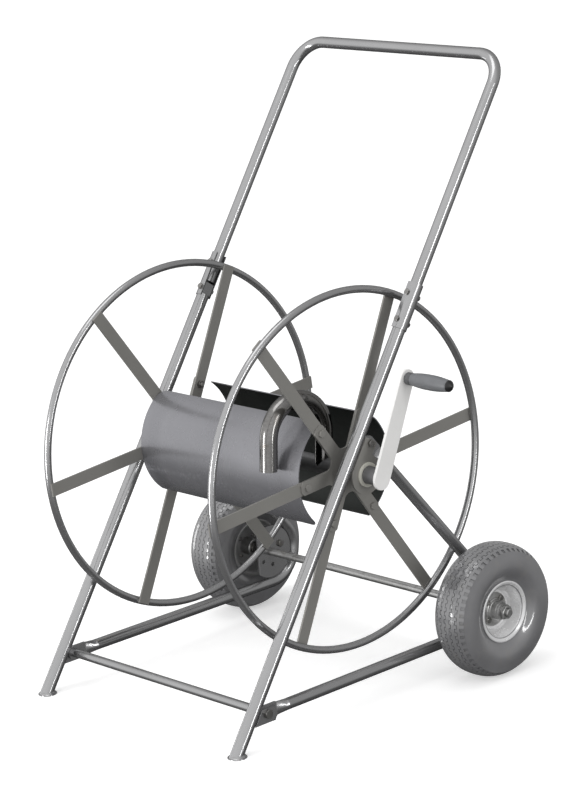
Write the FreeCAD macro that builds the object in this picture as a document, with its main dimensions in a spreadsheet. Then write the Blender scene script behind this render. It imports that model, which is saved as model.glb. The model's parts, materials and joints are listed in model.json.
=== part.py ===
import FreeCAD, Part
import math
import os
import Sketcher

# Garden hose reel cart, in millimetres, +Z up, +Y towards the wheels, +X towards the crank.
# Two leaning legs carry a push handle at the top and a hose reel in the middle, and a bent tube
# on each side runs from the foot of the leg round the wheel axle and back up to the reel bearing.
# Stations are distances along a leg's centre line, measured from the ground. The places below are
# measured from the reel's axis (y = 0) and the cart's middle plane (x = 0), and at() moves the
# whole cart so that the origin is on the ground below the middle of its box.

os.makedirs("parts", exist_ok=True)
doc = FreeCAD.newDocument("hose_reel_cart")
V = FreeCAD.Vector

DIMENSIONS = {
    "box_mid_x": (21.0, "middle of the box, from the cart's middle plane"),
    "box_mid_y": (31.9, "middle of the box, from the reel's axis"),
    "reel_height": (446.0, "reel axis above the ground"),
    "frame_half_width": (277.0, "middle plane to a leg's centre line"),
    "leg_lean": (34.5, "legs and handle from the vertical, degrees"),
    "leg_ground_y": (-366.0, "where a leg's centre line meets the ground"),
    "leg_radius": (12.5, "leg tube"),
    "leg_wall": (2.0, "leg tube wall"),
    "leg_top": (850.0, "station of the leg tube's upper end"),
    "foot_radius": (18.5, "flared foot"),
    "foot_thickness": (6.0, "flared foot"),
    "handle_radius": (11.5, "handle tube"),
    "handle_wall": (2.0, "handle tube wall"),
    "handle_low": (878.0, "station of the handle's lower ends"),
    "handle_top": (1410.0, "station of the handle's cross bar"),
    "handle_corner": (60.0, "centre line radius of the handle's corners"),
    "clip_low": (846.0, "station of the clip's lower end"),
    "clip_length": (92.0, "clip along the leg"),
    "clip_inside": (12.6, "inner radius of the clip's back"),
    "clip_wall": (1.6, "clip wall"),
    "clip_reach": (8.0, "clip flanges, from the tube's centre towards the reel"),
    "low_bolt": (862.0, "station of the lower clip bolt"),
    "high_bolt": (916.0, "station of the upper clip bolt"),
    "clip_bolt": (3.0, "clip bolts"),
    "clip_hole": (3.2, "holes for the clip bolts"),
    "bolt_radius": (4.0, "frame and hub bolts"),
    "bolt_hole": (4.25, "holes for those bolts"),
    "crossbar_radius": (8.5, "front crossbar"),
    "crossbar_bore": (5.05, "front crossbar"),
    "crossbar_y": (-289.0, "front crossbar and rail end bolt"),
    "rail_height": (64.0, "bottom rails and front crossbar"),
    "side_radius": (11.0, "bent side tube"),
    "side_wall": (2.0, "bent side tube wall"),
    "strut_lean": (40.0, "strut from the vertical, degrees"),
    "strut_bolt": (431.0, "strut bolt, from the end of the bend"),
    "flat_height": (28.0, "flattened tube ends"),
    "flat_thickness": (6.0, "flattened tube ends"),
    "neck_length": (26.0, "from round tube to flattened end"),
    "flat_length": (28.0, "flattened end, up to its bolt"),
    "plate_thickness": (5.0, "gusset, axle and bearing plates"),
    "wheel_y": (240.0, "wheel axle behind the reel axis"),
    "wheel_radius": (130.0, "tyre"),
    "wheel_middle": (353.0, "middle plane of a wheel"),
    "tyre_half_width": (41.8, "tyre"),
    "axle_radius": (8.0, "wheel axle"),
    "axle_half_length": (400.0, "wheel axle"),
    "axle_plate_radius": (54.95, "axle plate, inside the bend"),
    "hub_half_length": (30.0, "wheel hub tube"),
    "hub_radius": (17.4, "wheel hub tube"),
    "hub_bore": (13.0, "wheel hub tube"),
    "rim_radius": (60.0, "rim flange"),
    "bead_radius": (50.8, "rim bead seat"),
    "rim_sheet": (2.5, "rim sheet"),
    "hub_flange": (33.0, "wheel hub flange"),
    "hub_flange_sheet": (3.0, "wheel hub flange"),
    "rim_bolts": (25.5, "radius of the rim bolts"),
    "rim_half_width": (33.5, "middle of the wheel to the rim flange's face"),
    "ring_radius": (340.0, "reel ring, centre line"),
    "ring_tube": (7.25, "reel ring tube radius"),
    "ring_hollow": (5.75, "reel ring tube inner radius"),
    "ring_half_spacing": (236.0, "middle plane to a reel ring"),
    "spoke_width": (25.0, "flat bar spokes"),
    "spoke_thickness": (4.0, "flat bar spokes"),
    "spoke_inner": (34.0, "inner end of a spoke"),
    "spoke_angle": (5.0, "first spoke, from +Y towards +Z, degrees"),
    "star_thickness": (3.0, "star hub plate"),
    "star_reach": (118.0, "tip of a star hub arm"),
    "star_middle": (44.0, "star hub centre"),
    "star_web": (16.0, "fillet between star hub arms"),
    "star_bolts": (103.0, "radius of the hub bolts"),
    "shell_radius": (118.0, "outside of the drum shells"),
    "shell_sheet": (2.0, "drum shell sheet"),
    "shell_span": (114.0, "arc of a drum shell, degrees"),
    "shell_angle": (174.5, "middle of the front drum shell, degrees"),
    "shell_corner": (22.0, "rounded corners of the drum shells"),
    "pipe_radius": (16.85, "one inch pipe of the reel axle and hose pipe"),
    "pipe_bore": (13.85, "one inch pipe"),
    "axle_left": (300.0, "left end of the reel axle"),
    "pipe_x": (168.0, "plane of the hose pipe"),
    "pipe_lean": (5.5, "hose pipe from the vertical, degrees"),
    "pipe_rise": (65.0, "reel axis to the start of the hose pipe's bend"),
    "pipe_bend": (70.0, "hose pipe's bend, centre line radius"),
    "pipe_drop": (57.0, "straight outer leg of the hose pipe"),
    "bearing_radius": (38.0, "bearing plate round the bush"),
    "bush_bore": (16.92, "reel bush"),
    "bush_radius": (20.5, "reel bush"),
    "bush_flange": (23.4, "reel bush flange"),
    "crank_x": (321.0, "inner face of the crank arm"),
    "crank_thickness": (6.0, "crank arm"),
    "crank_half_width": (20.0, "crank arm at the reel's axis"),
    "crank_tip_half_width": (17.5, "crank arm at the grip"),
    "crank_radius": (189.0, "reel axis to the grip's axis"),
    "crank_tail": (3.5, "centre of the arm's lower end below the reel axis"),
    "crank_lean": (24.8, "crank arm from the vertical, degrees"),
    "spindle_radius": (6.0, "grip spindle"),
    "grip_length": (105.0, "grip with its collar"),
    "cap_length": (10.0, "grip end cap"),
}

sheet = doc.addObject("Spreadsheet::Sheet", "Dimensions")
for row, (alias, (number, meaning)) in enumerate(DIMENSIONS.items(), start=1):
    sheet.set(f"A{row}", alias)
    sheet.set(f"B{row}", str(number))
    sheet.set(f"C{row}", meaning)
    sheet.setAlias(f"B{row}", alias)
doc.recompute()


class Size:
    """A length or angle that knows both its number and the sheet expression it comes from."""

    def __init__(self, number, text):
        self.number = float(number)
        self.text = text

    def combine(self, other, sign, number, swapped=False):
        other = as_size(other)
        first, second = (other, self) if swapped else (self, other)
        return Size(number(first.number, second.number), f"({first.text} {sign} {second.text})")

    def __add__(self, other):
        return self.combine(other, "+", lambda a, b: a + b)

    def __radd__(self, other):
        return self.combine(other, "+", lambda a, b: a + b, True)

    def __sub__(self, other):
        return self.combine(other, "-", lambda a, b: a - b)

    def __rsub__(self, other):
        return self.combine(other, "-", lambda a, b: a - b, True)

    def __mul__(self, other):
        return self.combine(other, "*", lambda a, b: a * b)

    def __rmul__(self, other):
        return self.combine(other, "*", lambda a, b: a * b, True)

    def __truediv__(self, other):
        return self.combine(other, "/", lambda a, b: a / b)

    def __neg__(self):
        return Size(-self.number, f"(0 - {self.text})")


def as_size(item):
    return item if isinstance(item, Size) else Size(item, repr(float(item)))


def size(alias):
    """The named dimension, read from its cell."""
    return Size(sheet.get(alias), f"Dimensions.{alias}")


def cosine(angle):
    angle = as_size(angle)
    return Size(math.cos(math.radians(angle.number)), f"cos({angle.text})")


def sine(angle):
    angle = as_size(angle)
    return Size(math.sin(math.radians(angle.number)), f"sin({angle.text})")


def root(item):
    return Size(math.sqrt(item.number), f"sqrt({item.text})")


def number(item):
    return as_size(item).number


def bind(thing, name, item):
    """Ties a property or a sketch constraint to the sheet."""
    thing.setExpression(name, as_size(item).text)


# Directions. SIDE turns a drawing's x and y into the cart's Y and Z, and its normal into X.
SIDE = FreeCAD.Rotation(V(0, 1, 0), V(0, 0, 1), V(1, 0, 0), "ZXY")
TO_RIGHT = FreeCAD.Rotation(V(0, 1, 0), 90)
TO_LEFT = FreeCAD.Rotation(V(0, 1, 0), -90)
LEAN = FreeCAD.Rotation(V(1, 0, 0), -number(size("leg_lean")))
HALF_TURN = FreeCAD.Rotation(V(0, 0, 1), 180)
SIDES = (("left", -1), ("right", 1))

half_width = size("frame_half_width")
reel_z = size("reel_height")
wheel_y = size("wheel_y")
wheel_z = size("wheel_radius")
plate = size("plate_thickness")
flat_half = size("flat_thickness") / 2
plate_inner = half_width + flat_half
plate_outer = plate_inner + plate
spoke_outer = size("ring_half_spacing") - size("ring_tube")
spoke_inner_face = spoke_outer - size("spoke_thickness")
star_outer = spoke_outer + size("star_thickness")


def at(x, y, z, rotation=FreeCAD.Rotation()):
    """A placement in the part's own frame, from a point measured from the reel's axis."""
    base = V(number(x - size("box_mid_x")), number(y - size("box_mid_y")), number(z))
    return FreeCAD.Placement(base, rotation)


def on_leg(side, station, rotation=FreeCAD.Rotation()):
    """A placement on a leg's centre line, with its z axis along the leg."""
    lean = size("leg_lean")
    y = size("leg_ground_y") + station * sine(lean)
    return at(side * half_width, y, station * cosine(lean), LEAN.multiply(rotation))


def about_reel(angle, x=0.0):
    """A placement on the reel's axis, drawn from the side and turned from +Y towards +Z."""
    turned = SIDE.multiply(FreeCAD.Rotation(V(0, 0, 1), number(angle)))
    return at(as_size(x), as_size(0.0), reel_z, turned)


nodes = []


def finish(thing, label):
    """Names a finished sub-part and lists it for export."""
    thing.Label = label
    nodes.append(thing)
    return thing


# Part primitives and booleans, bound to the sheet.

def cylinder(name, radius, height, place):
    made = doc.addObject("Part::Cylinder", name)
    bind(made, "Radius", radius)
    bind(made, "Height", height)
    made.Placement = place
    return made


def block(name, length, width, height, place):
    made = doc.addObject("Part::Box", name)
    bind(made, "Length", length)
    bind(made, "Width", width)
    bind(made, "Height", height)
    made.Placement = place
    return made


def hexagon(name, across_flats, height, place):
    made = doc.addObject("Part::Prism", name)
    made.Polygon = 6
    bind(made, "Circumradius", as_size(across_flats) / (2 * cosine(30.0)))
    bind(made, "Height", height)
    made.Placement = place
    return made


def cut(name, base, tool):
    made = doc.addObject("Part::Cut", name)
    made.Base = base
    made.Tool = tool
    return made


def fuse(name, base, tool):
    made = doc.addObject("Part::Fuse", name)
    made.Base = base
    made.Tool = tool
    return made


def group(label, pieces):
    made = doc.addObject("Part::Compound", label)
    made.Links = pieces
    return finish(made, label)


def tube(name, outer, inner, length, place):
    solid = cylinder(name + "_outside", outer, length, place)
    bore = cylinder(name + "_inside", inner, length, place)
    return cut(name, solid, bore)


def bolt(name, radius, across_flats, head, length, place):
    """A hexagon bolt: its head stands behind the placement's origin and its shank in front."""
    behind = place.multiply(FreeCAD.Placement(V(0, 0, -number(head)), FreeCAD.Rotation()))
    return fuse(name, hexagon(name + "_head", across_flats, head, behind),
                cylinder(name + "_shank", radius, length, place))


def nut(name, bore, across_flats, height, place):
    blank = hexagon(name + "_blank", across_flats, height, place)
    return cut(name, blank, cylinder(name + "_bore", bore, height, place))


# PartDesign bodies and their sketches.

def new_body(label, place):
    body = doc.addObject("PartDesign::Body", label)
    body.Placement = place
    return finish(body, label)


def new_sketch(body, name, role="XY_Plane", offset=None):
    sketch = body.newObject("Sketcher::SketchObject", f"{body.Label}_{name}")
    datum = next(item for item in body.Origin.OriginFeatures if item.Role == role)
    sketch.AttachmentSupport = (datum, [""])
    sketch.MapMode = "FlatFace"
    if offset is not None:
        sketch.AttachmentOffset = offset
    return sketch


def constrain(sketch, kind, arguments, item):
    index = sketch.addConstraint(Sketcher.Constraint(kind, *arguments, number(item)))
    bind(sketch, f"Constraints[{index}]", item)


def pin(sketch, geometry, point, x, y):
    """Holds a sketch point at x, y from the sketch's origin."""
    constrain(sketch, "DistanceX", (-1, 1, geometry, point), x)
    constrain(sketch, "DistanceY", (-1, 1, geometry, point), y)


def circle(sketch, radius, x=0.0, y=0.0):
    shape = Part.Circle(V(number(x), number(y), 0), V(0, 0, 1), number(radius))
    geometry = sketch.addGeometry(shape, False)
    constrain(sketch, "Radius", (geometry,), radius)
    pin(sketch, geometry, 3, x, y)


def arc_between(start, end, radius):
    """An arc of up to half a turn; a positive radius has its centre on the left."""
    chord = end - start
    middle = (start + end) * 0.5
    rise = math.sqrt(max(radius * radius - chord.Length ** 2 / 4, 0.0))
    left = V(-chord.y, chord.x, 0).normalize()
    centre = middle + left * (rise if radius > 0 else -rise)
    first, last = (start, end) if radius > 0 else (end, start)
    angles = [math.atan2(point.y - centre.y, point.x - centre.x) for point in (first, last)]
    ring = Part.Circle(centre, V(0, 0, 1), abs(radius))
    return Part.ArcOfCircle(ring, angles[0], angles[1])


def outline(sketch, corners, arcs=None, closed=True):
    """Lines from corner to corner; arcs gives the radius of the edge that leaves a corner."""
    arcs = arcs or {}
    points = [V(number(x), number(y), 0) for x, y in corners]
    count = len(points) if closed else len(points) - 1
    ends = []
    for index in range(count):
        start = points[index]
        end = points[(index + 1) % len(points)]
        if index in arcs:
            radius = number(arcs[index])
            geometry = sketch.addGeometry(arc_between(start, end, radius), False)
            ends.append((geometry, 1, 2) if radius > 0 else (geometry, 2, 1))
            size_of_arc = arcs[index] if radius > 0 else -as_size(arcs[index])
            constrain(sketch, "Radius", (geometry,), size_of_arc)
        else:
            ends.append((sketch.addGeometry(Part.LineSegment(start, end), False), 1, 2))
    for index, (geometry, first, last) in enumerate(ends):
        if closed or index < count - 1:
            follower, entry, _ = ends[(index + 1) % count]
            sketch.addConstraint(Sketcher.Constraint("Coincident", geometry, last, follower, entry))
        pin(sketch, geometry, first, *corners[index])
    if not closed:
        pin(sketch, ends[-1][0], ends[-1][2], *corners[-1])


def pad(body, sketch, length, midplane=False):
    feature = body.newObject("PartDesign::Pad", sketch.Name + "_pad")
    feature.Profile = sketch
    bind(feature, "Length", length)
    feature.SideType = "Symmetric" if midplane else "One side"
    sketch.Visibility = False
    doc.recompute()
    return feature


def pocket_through(body, sketch):
    """Cuts a sketch through the whole body, both ways, and makes sure that it cut something."""
    before = body.Shape.Volume
    feature = body.newObject("PartDesign::Pocket", sketch.Name + "_pocket")
    feature.Profile = sketch
    feature.SideType = "Symmetric"
    feature.Type = "ThroughAll"
    doc.recompute()
    if body.Shape.Volume >= before:
        raise RuntimeError(f"{feature.Name} cut nothing")
    return feature


def revolve(body, sketch):
    """Turns a sketch on the XZ plane a full turn about the body's z axis."""
    feature = body.newObject("PartDesign::Revolution", sketch.Name + "_revolution")
    feature.Profile = sketch
    feature.ReferenceAxis = (sketch, ["V_Axis"])
    feature.Angle = 360.0
    doc.recompute()
    return feature


def sweep(body, profile, path):
    feature = body.newObject("PartDesign::AdditivePipe", profile.Name + "_pipe")
    feature.Profile = profile
    feature.Spine = (path, [f"Edge{index + 1}" for index in range(path.GeometryCount)])
    doc.recompute()
    return feature


def round_edges(body, radius, chosen, name):
    """Fillets the edges of the body for which chosen(edge) is true."""
    last = body.Tip
    edges = [f"Edge{index}" for index, edge in enumerate(last.Shape.Edges, start=1)
             if chosen(edge)]
    feature = body.newObject("PartDesign::Fillet", f"{body.Label}_{name}")
    feature.Base = (last, edges)
    bind(feature, "Radius", radius)
    doc.recompute()
    return feature


# The frame: legs, feet, crossbar, gussets and bent side tubes.

def make_leg(name, side):
    """A leaning tube, cut level at its foot, with a solid tongue for the lower clip bolt."""
    start = 10.0
    lean = size("leg_lean")
    body = new_body(f"leg_{name}", on_leg(side, as_size(0.0)))
    below = FreeCAD.Placement(V(0, 0, -start), FreeCAD.Rotation())
    ring = new_sketch(body, "section", offset=below)
    circle(ring, size("leg_radius"))
    circle(ring, size("leg_radius") - size("leg_wall"))
    pad(body, ring, size("leg_top") + start)
    wide = size("leg_radius") + 5.0
    deep = -wide * 2
    level = new_sketch(body, "level_cut", "YZ_Plane")
    rise = [(size("foot_thickness") + y * sine(lean)) / cosine(lean) for y in (-wide, wide)]
    outline(level, [(-wide, rise[0]), (-wide, deep), (wide, deep), (wide, rise[1])])
    pocket_through(body, level)
    tongue_half = 11.0
    tongue_back = 6.0
    tongue_length = 24.0
    above = FreeCAD.Placement(V(0, 0, number(size("leg_top"))), FreeCAD.Rotation())
    tongue = new_sketch(body, "tongue", offset=above)
    inner = -side * (size("clip_reach") - 0.5)
    outer = as_size(side * tongue_back)
    outline(tongue, [(inner, -tongue_half), (outer, -tongue_half),
                     (outer, tongue_half), (inner, tongue_half)])
    pad(body, tongue, tongue_length)
    hole = new_sketch(body, "bolt_hole", "XZ_Plane")
    circle(hole, size("clip_hole"), 0.0, size("low_bolt"))
    pocket_through(body, hole)


def make_foot(name, side):
    """A flared disc, flat on the ground, below the leg's level end."""
    thick = size("foot_thickness")
    y = size("leg_ground_y") + thick * sine(size("leg_lean")) / cosine(size("leg_lean"))
    body = new_body(f"foot_{name}", at(side * half_width, y, as_size(0.0)))
    profile = new_sketch(body, "profile", "XZ_Plane")
    neck = size("foot_radius") - 3.0
    outline(profile, [(0.0, 0.0), (size("foot_radius"), 0.0), (size("foot_radius"), thick / 3),
                      (neck, thick), (0.0, thick)])
    revolve(body, profile)


def make_crossbar():
    """The front tube between the two side tubes, with tapped ends."""
    length = 2 * (half_width - flat_half)
    place = at(-(half_width - flat_half), size("crossbar_y"), size("rail_height"), TO_RIGHT)
    bar = tube("crossbar", size("crossbar_radius"), size("crossbar_bore"), length, place)
    finish(bar, "front_crossbar")


def leg_edge(z):
    """The y of a flat plate's edge that runs along the back of a leg, at height z."""
    lean = size("leg_lean")
    return size("leg_ground_y") + (z * sine(lean) + size("leg_radius") - 0.3) / cosine(lean)


def make_gusset(name, side):
    """A small plate behind the leg's lower end, which holds the rail's flattened end."""
    low = size("rail_height") - 18.0
    high = size("rail_height") + 10.0
    bolt_y = size("crossbar_y")
    start = plate_inner if side > 0 else -plate_outer
    body = new_body(f"gusset_{name}", at(start, as_size(0.0), as_size(0.0), SIDE))
    shape = new_sketch(body, "outline")
    outline(shape, [(leg_edge(low), low), (bolt_y + 19.0, low),
                    (bolt_y + 25.0, size("rail_height") - 6.0), (bolt_y + 21.0, high),
                    (leg_edge(high), high)])
    circle(shape, 5.1, bolt_y, size("rail_height"))
    pad(body, shape, plate)


def make_side_tube(name, side):
    """Rail, bend round the wheel axle and strut in one tube, flattened and bolted at both ends."""
    lean = size("strut_lean")
    turn = 90.0 + number(lean)
    rail_z = size("rail_height")
    bend = wheel_z - rail_z
    along = (-sine(lean), cosine(lean))
    normal = (cosine(lean), sine(lean))
    start = (wheel_y + bend * normal[0], wheel_z + bend * normal[1])

    def strut(distance, offset=0.0):
        return tuple(start[k] + distance * along[k] + offset * normal[k] for k in (0, 1))

    def across_strut(distance):
        place = strut(distance)
        base = V(place[1].number, 0, place[0].number)
        return FreeCAD.Placement(base, FreeCAD.Rotation(V(0, 1, 0), turn))

    flat_start = size("crossbar_y") + size("flat_length")
    round_start = flat_start + size("neck_length")
    strut_flat = size("strut_bolt") - size("flat_length")
    strut_round = strut_flat - size("neck_length")
    body = new_body(f"side_tube_{name}", at(side * half_width, as_size(0.0), as_size(0.0), SIDE))
    path = new_sketch(body, "path")
    outline(path, [(round_start, rail_z), (wheel_y, rail_z), start, strut(strut_round)],
            arcs={1: bend}, closed=False)
    section_offset = FreeCAD.Placement(V(number(rail_z), 0, round_start.number),
                                       FreeCAD.Rotation())
    section = new_sketch(body, "section", "YZ_Plane", section_offset)
    circle(section, size("side_radius"))
    circle(section, size("side_radius") - size("side_wall"))
    sweep(body, section, path)
    ends = [
        (section_offset, FreeCAD.Placement(V(number(rail_z), 0, flat_start.number - 1.0),
                                           FreeCAD.Rotation())),
        (across_strut(strut_round), across_strut(strut_flat + 1.0)),
    ]
    for index, (round_place, flat_place) in enumerate(ends):
        round_end = new_sketch(body, f"round_end_{index}", "YZ_Plane", round_place)
        circle(round_end, size("side_radius"))
        flat_end = new_sketch(body, f"flat_end_{index}", "YZ_Plane", flat_place)
        tall = number(size("flat_height")) / 2 - 0.2
        flat_end.addGeometry(Part.Ellipse(V(tall, 0, 0), V(0, number(flat_half) - 0.05, 0),
                                          V(0, 0, 0)), False)
        neck = body.newObject("PartDesign::AdditiveLoft", f"{body.Label}_neck_{index}")
        neck.Profile = round_end
        neck.Sections = [flat_end]
        doc.recompute()
    tall = size("flat_height") / 2
    bolt_y = size("crossbar_y")
    rail_flat = new_sketch(body, "rail_flat")
    outline(rail_flat, [(flat_start, rail_z + tall), (bolt_y, rail_z + tall),
                        (bolt_y - tall, rail_z), (bolt_y, rail_z - tall),
                        (flat_start, rail_z - tall)], arcs={1: tall, 2: tall})
    circle(rail_flat, 5.1, bolt_y, rail_z)
    pad(body, rail_flat, size("flat_thickness"), midplane=True)
    tip = size("strut_bolt")
    strut_sketch = new_sketch(body, "strut_flat")
    outline(strut_sketch, [strut(strut_flat, tall), strut(tip, tall), strut(tip + tall),
                           strut(tip, -tall), strut(strut_flat, -tall)],
            arcs={1: tall, 2: tall})
    circle(strut_sketch, size("bolt_hole"), *strut(tip))
    pad(body, strut_sketch, size("flat_thickness"), midplane=True)
    return strut


def make_axle_plate(name, side):
    """A flat plate welded inside the side tube's bend, which carries the wheel axle."""
    radius = size("axle_plate_radius")
    front = as_size(34.0)
    high = root(radius * radius - front * front)
    hole_circle = as_size(28.0)
    body = new_body(f"axle_plate_{name}", at(side * half_width, wheel_y, wheel_z, SIDE))
    shape = new_sketch(body, "outline")
    outline(shape, [(-front, -high), (radius, 0.0), (-front, high)],
            arcs={0: radius, 1: radius})
    circle(shape, size("axle_radius") + 0.05)
    for angle in (25.0, 218.0, 275.0):
        circle(shape, size("bolt_hole"), hole_circle * cosine(angle), hole_circle * sine(angle))
    pad(body, shape, plate, midplane=True)


def make_bearing_plate(name, side, strut):
    """A plate that fills the corner between leg and strut and holds the reel's bush."""
    lean = size("leg_lean")
    radius = size("bearing_radius")
    leg_line = -(size("leg_ground_y") + reel_z * sine(lean) / cosine(lean)) * cosine(lean)
    leg_gap = leg_line - size("leg_radius") + 0.3
    leg_chord = root(radius * radius - leg_gap * leg_gap)
    on_leg_side = (-leg_gap * cosine(lean) - leg_chord * sine(lean),
                   leg_gap * sine(lean) - leg_chord * cosine(lean))
    tip = size("strut_bolt")
    clear = -(size("side_radius") + 0.2)
    upper = strut(tip - 19.0, clear)
    rear = strut(tip - 13.0, 11.0)
    crown = strut(tip + 4.0, 8.0)
    top = reel_z + 70.0
    start = plate_inner if side > 0 else -plate_outer
    body = new_body(f"bearing_plate_{name}", at(start, as_size(0.0), reel_z, SIDE))
    shape = new_sketch(body, "outline")
    corners = [on_leg_side, (0.0, -radius), (radius * cosine(20.0), radius * sine(20.0)),
               (upper[0], upper[1] - reel_z), (rear[0], rear[1] - reel_z),
               (crown[0], crown[1] - reel_z), (leg_edge(top), top - reel_z)]
    outline(shape, corners, arcs={0: radius, 1: radius})
    circle(shape, size("bush_radius") + 0.05)
    bolt_place = strut(tip)
    circle(shape, size("bolt_hole"), bolt_place[0], bolt_place[1] - reel_z)
    pad(body, shape, plate)


def make_bush(name, side):
    """A flanged plastic bush, pushed into the bearing plate from outside."""
    flange = as_size(4.0)
    sleeve = plate + 4.0
    turn = TO_RIGHT if side > 0 else TO_LEFT
    body = new_body(f"bush_{name}", at(side * plate_outer, as_size(0.0), reel_z, turn))
    profile = new_sketch(body, "profile", "XZ_Plane")
    outline(profile, [(size("bush_bore"), -sleeve), (size("bush_radius"), -sleeve),
                      (size("bush_radius"), 0.0), (size("bush_flange"), 0.0),
                      (size("bush_flange"), flange), (size("bush_bore"), flange)])
    revolve(body, profile)


# The push handle and the clips that join it to the legs.

def make_clip(name, side):
    """A channel with a rounded back on the outer side, open towards the reel."""
    facing = FreeCAD.Rotation() if side > 0 else HALF_TURN
    body = new_body(f"handle_clip_{name}", on_leg(side, size("clip_low"), facing))
    inner = size("clip_inside")
    outer = inner + size("clip_wall")
    reach = size("clip_reach")
    section = new_sketch(body, "section")
    outline(section, [(-reach, -outer), (0.0, -outer), (outer, 0.0), (0.0, outer),
                      (-reach, outer), (-reach, inner), (0.0, inner), (inner, 0.0),
                      (0.0, -inner), (-reach, -inner)],
            arcs={1: outer, 2: outer, 6: -inner, 7: -inner})
    pad(body, section, size("clip_length"))
    holes = new_sketch(body, "bolt_holes", "XZ_Plane")
    for station in ("low_bolt", "high_bolt"):
        circle(holes, size("clip_hole"), 0.0, size(station) - size("clip_low"))
    pocket_through(body, holes)


def make_handle():
    """One tube bent twice, whose ends stand in the two clips."""
    low = size("handle_low")
    high = size("handle_top")
    corner = size("handle_corner")
    origin = at(as_size(0.0), size("leg_ground_y"), as_size(0.0), LEAN)
    body = new_body("push_handle", origin)
    path = new_sketch(body, "path", "XZ_Plane")
    outline(path, [(-half_width, low), (-half_width, high - corner),
                   (-half_width + corner, high), (half_width - corner, high),
                   (half_width, high - corner), (half_width, low)],
            arcs={1: -corner, 3: -corner}, closed=False)
    place = FreeCAD.Placement(V(0, 0, low.number), FreeCAD.Rotation())
    section = new_sketch(body, "section", offset=place)
    circle(section, size("handle_radius"), -half_width, 0.0)
    circle(section, size("handle_radius") - size("handle_wall"), -half_width, 0.0)
    sweep(body, section, path)
    holes = new_sketch(body, "bolt_holes", "XZ_Plane")
    for side in (-1, 1):
        circle(holes, size("clip_hole"), side * half_width, size("high_bolt"))
    pocket_through(body, holes)


def make_clip_fasteners():
    """The bolts of the two clips, and their nuts, which make_side_fasteners groups."""
    half = size("clip_inside") + size("clip_wall")
    radius = size("clip_bolt")
    backwards = FreeCAD.Rotation(V(1, 0, 0), -90)
    head = as_size(4.0)
    nut_height = as_size(5.0)
    bolts = []
    nuts = []
    for name, side in SIDES:
        for station in ("low_bolt", "high_bolt"):
            place = on_leg(side, size(station))
            front = place.multiply(FreeCAD.Placement(V(0, -half.number, 0), backwards))
            rear = place.multiply(FreeCAD.Placement(V(0, half.number, 0), backwards))
            bolts.append(bolt(f"clip_{station}_{name}", radius, 10.0, head,
                              2 * half + nut_height + 2.0, front))
            nuts.append(nut(f"clip_nut_{station}_{name}", radius + 0.02, 10.0, nut_height, rear))
    group("handle_bolts", bolts)
    return nuts


def make_side_fasteners(strut, nuts):
    """The crossbar's end bolts, the strut bolts, the axle plate bolts and all frame nuts."""
    inwards = {1: TO_LEFT, -1: TO_RIGHT}
    radius = size("bolt_radius")
    cross = []
    struts = []
    plates = []
    bolt_place = strut(size("strut_bolt"))
    plate_bolt = (wheel_y + 28.0 * cosine(25.0), wheel_z + 28.0 * sine(25.0))
    grip = plate + size("flat_thickness")
    for name, side in SIDES:
        outer = side * plate_outer
        cross.append(bolt(f"crossbar_bolt_{name}", 5.0, 16.0, 6.4, grip + 22.0,
                          at(outer, size("crossbar_y"), size("rail_height"), inwards[side])))
        struts.append(bolt(f"strut_bolt_{name}", radius, 13.0, 5.3, grip + 9.0,
                           at(outer, *bolt_place, inwards[side])))
        nuts.append(nut(f"strut_nut_{name}", radius + 0.02, 13.0, 6.5,
                        at(side * (half_width - flat_half), *bolt_place, inwards[side])))
        plates.append(bolt(f"plate_bolt_{name}", radius, 13.0, 5.3, plate + 7.0,
                           at(side * (half_width - plate / 2), *plate_bolt, inwards[-side])))
    group("crossbar_bolts", cross)
    group("strut_bolts", struts)
    group("frame_nuts", nuts)
    group("axle_plate_bolts", plates)


# The wheel axle and the two wheels.

def make_wheel_axle():
    body = new_body("wheel_axle", at(-size("axle_half_length"), wheel_y, wheel_z, TO_RIGHT))
    section = new_sketch(body, "section")
    circle(section, size("axle_radius"))
    pad(body, section, 2 * size("axle_half_length"))
    bevel = body.newObject("PartDesign::Chamfer", "wheel_axle_bevel")
    last = body.Group[-2]
    rims = [f"Edge{index}" for index, edge in enumerate(last.Shape.Edges, start=1)
            if isinstance(edge.Curve, Part.Circle)]
    bevel.Base = (last, rims)
    bevel.Size = 1.5
    doc.recompute()
    hub_inner = size("wheel_middle") - size("hub_half_length")
    hub_outer = size("wheel_middle") + size("hub_half_length")
    spacer_start = half_width + plate / 2
    spacer_end = hub_inner - 0.4
    washer_start = hub_outer + 0.4
    washer_thickness = as_size(2.5)
    bore = size("axle_radius") + 0.05
    spacers = []
    washers = []
    nuts = []
    for name, side in SIDES:
        turn = TO_RIGHT if side > 0 else TO_LEFT
        spacers.append(tube(f"spacer_{name}", 11.5, bore, spacer_end - spacer_start,
                            at(side * spacer_start, wheel_y, wheel_z, turn)))
        washers.append(tube(f"washer_{name}", 15.0, bore, washer_thickness,
                            at(side * washer_start, wheel_y, wheel_z, turn)))
        nuts.append(nut(f"axle_nut_{name}", bore, 24.0, 8.0,
                        at(side * (washer_start + washer_thickness), wheel_y, wheel_z, turn)))
    group("wheel_spacers", spacers)
    group("wheel_washers", washers)
    group("wheel_nuts", nuts)


def rim_profile(sketch, way):
    """One pressed rim half: disc, well, bead seat and flange. way is 1 outside, -1 inside."""
    seat = size("bead_radius")
    metal = size("rim_sheet")
    face = size("rim_half_width")
    well = seat - 4.8
    profile = [(0.0, size("hub_radius") + 0.05), (0.0, well), (12.0, well), (16.0, seat),
               (face - 3.0, seat), (face - 3.0, size("rim_radius")), (face, size("rim_radius")),
               (face, seat - metal), (17.0, seat - metal), (13.0, well - metal),
               (metal, well - metal), (metal, size("hub_radius") + 0.05)]
    outline(sketch, [(radius, way * as_size(axial)) for axial, radius in profile])


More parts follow.
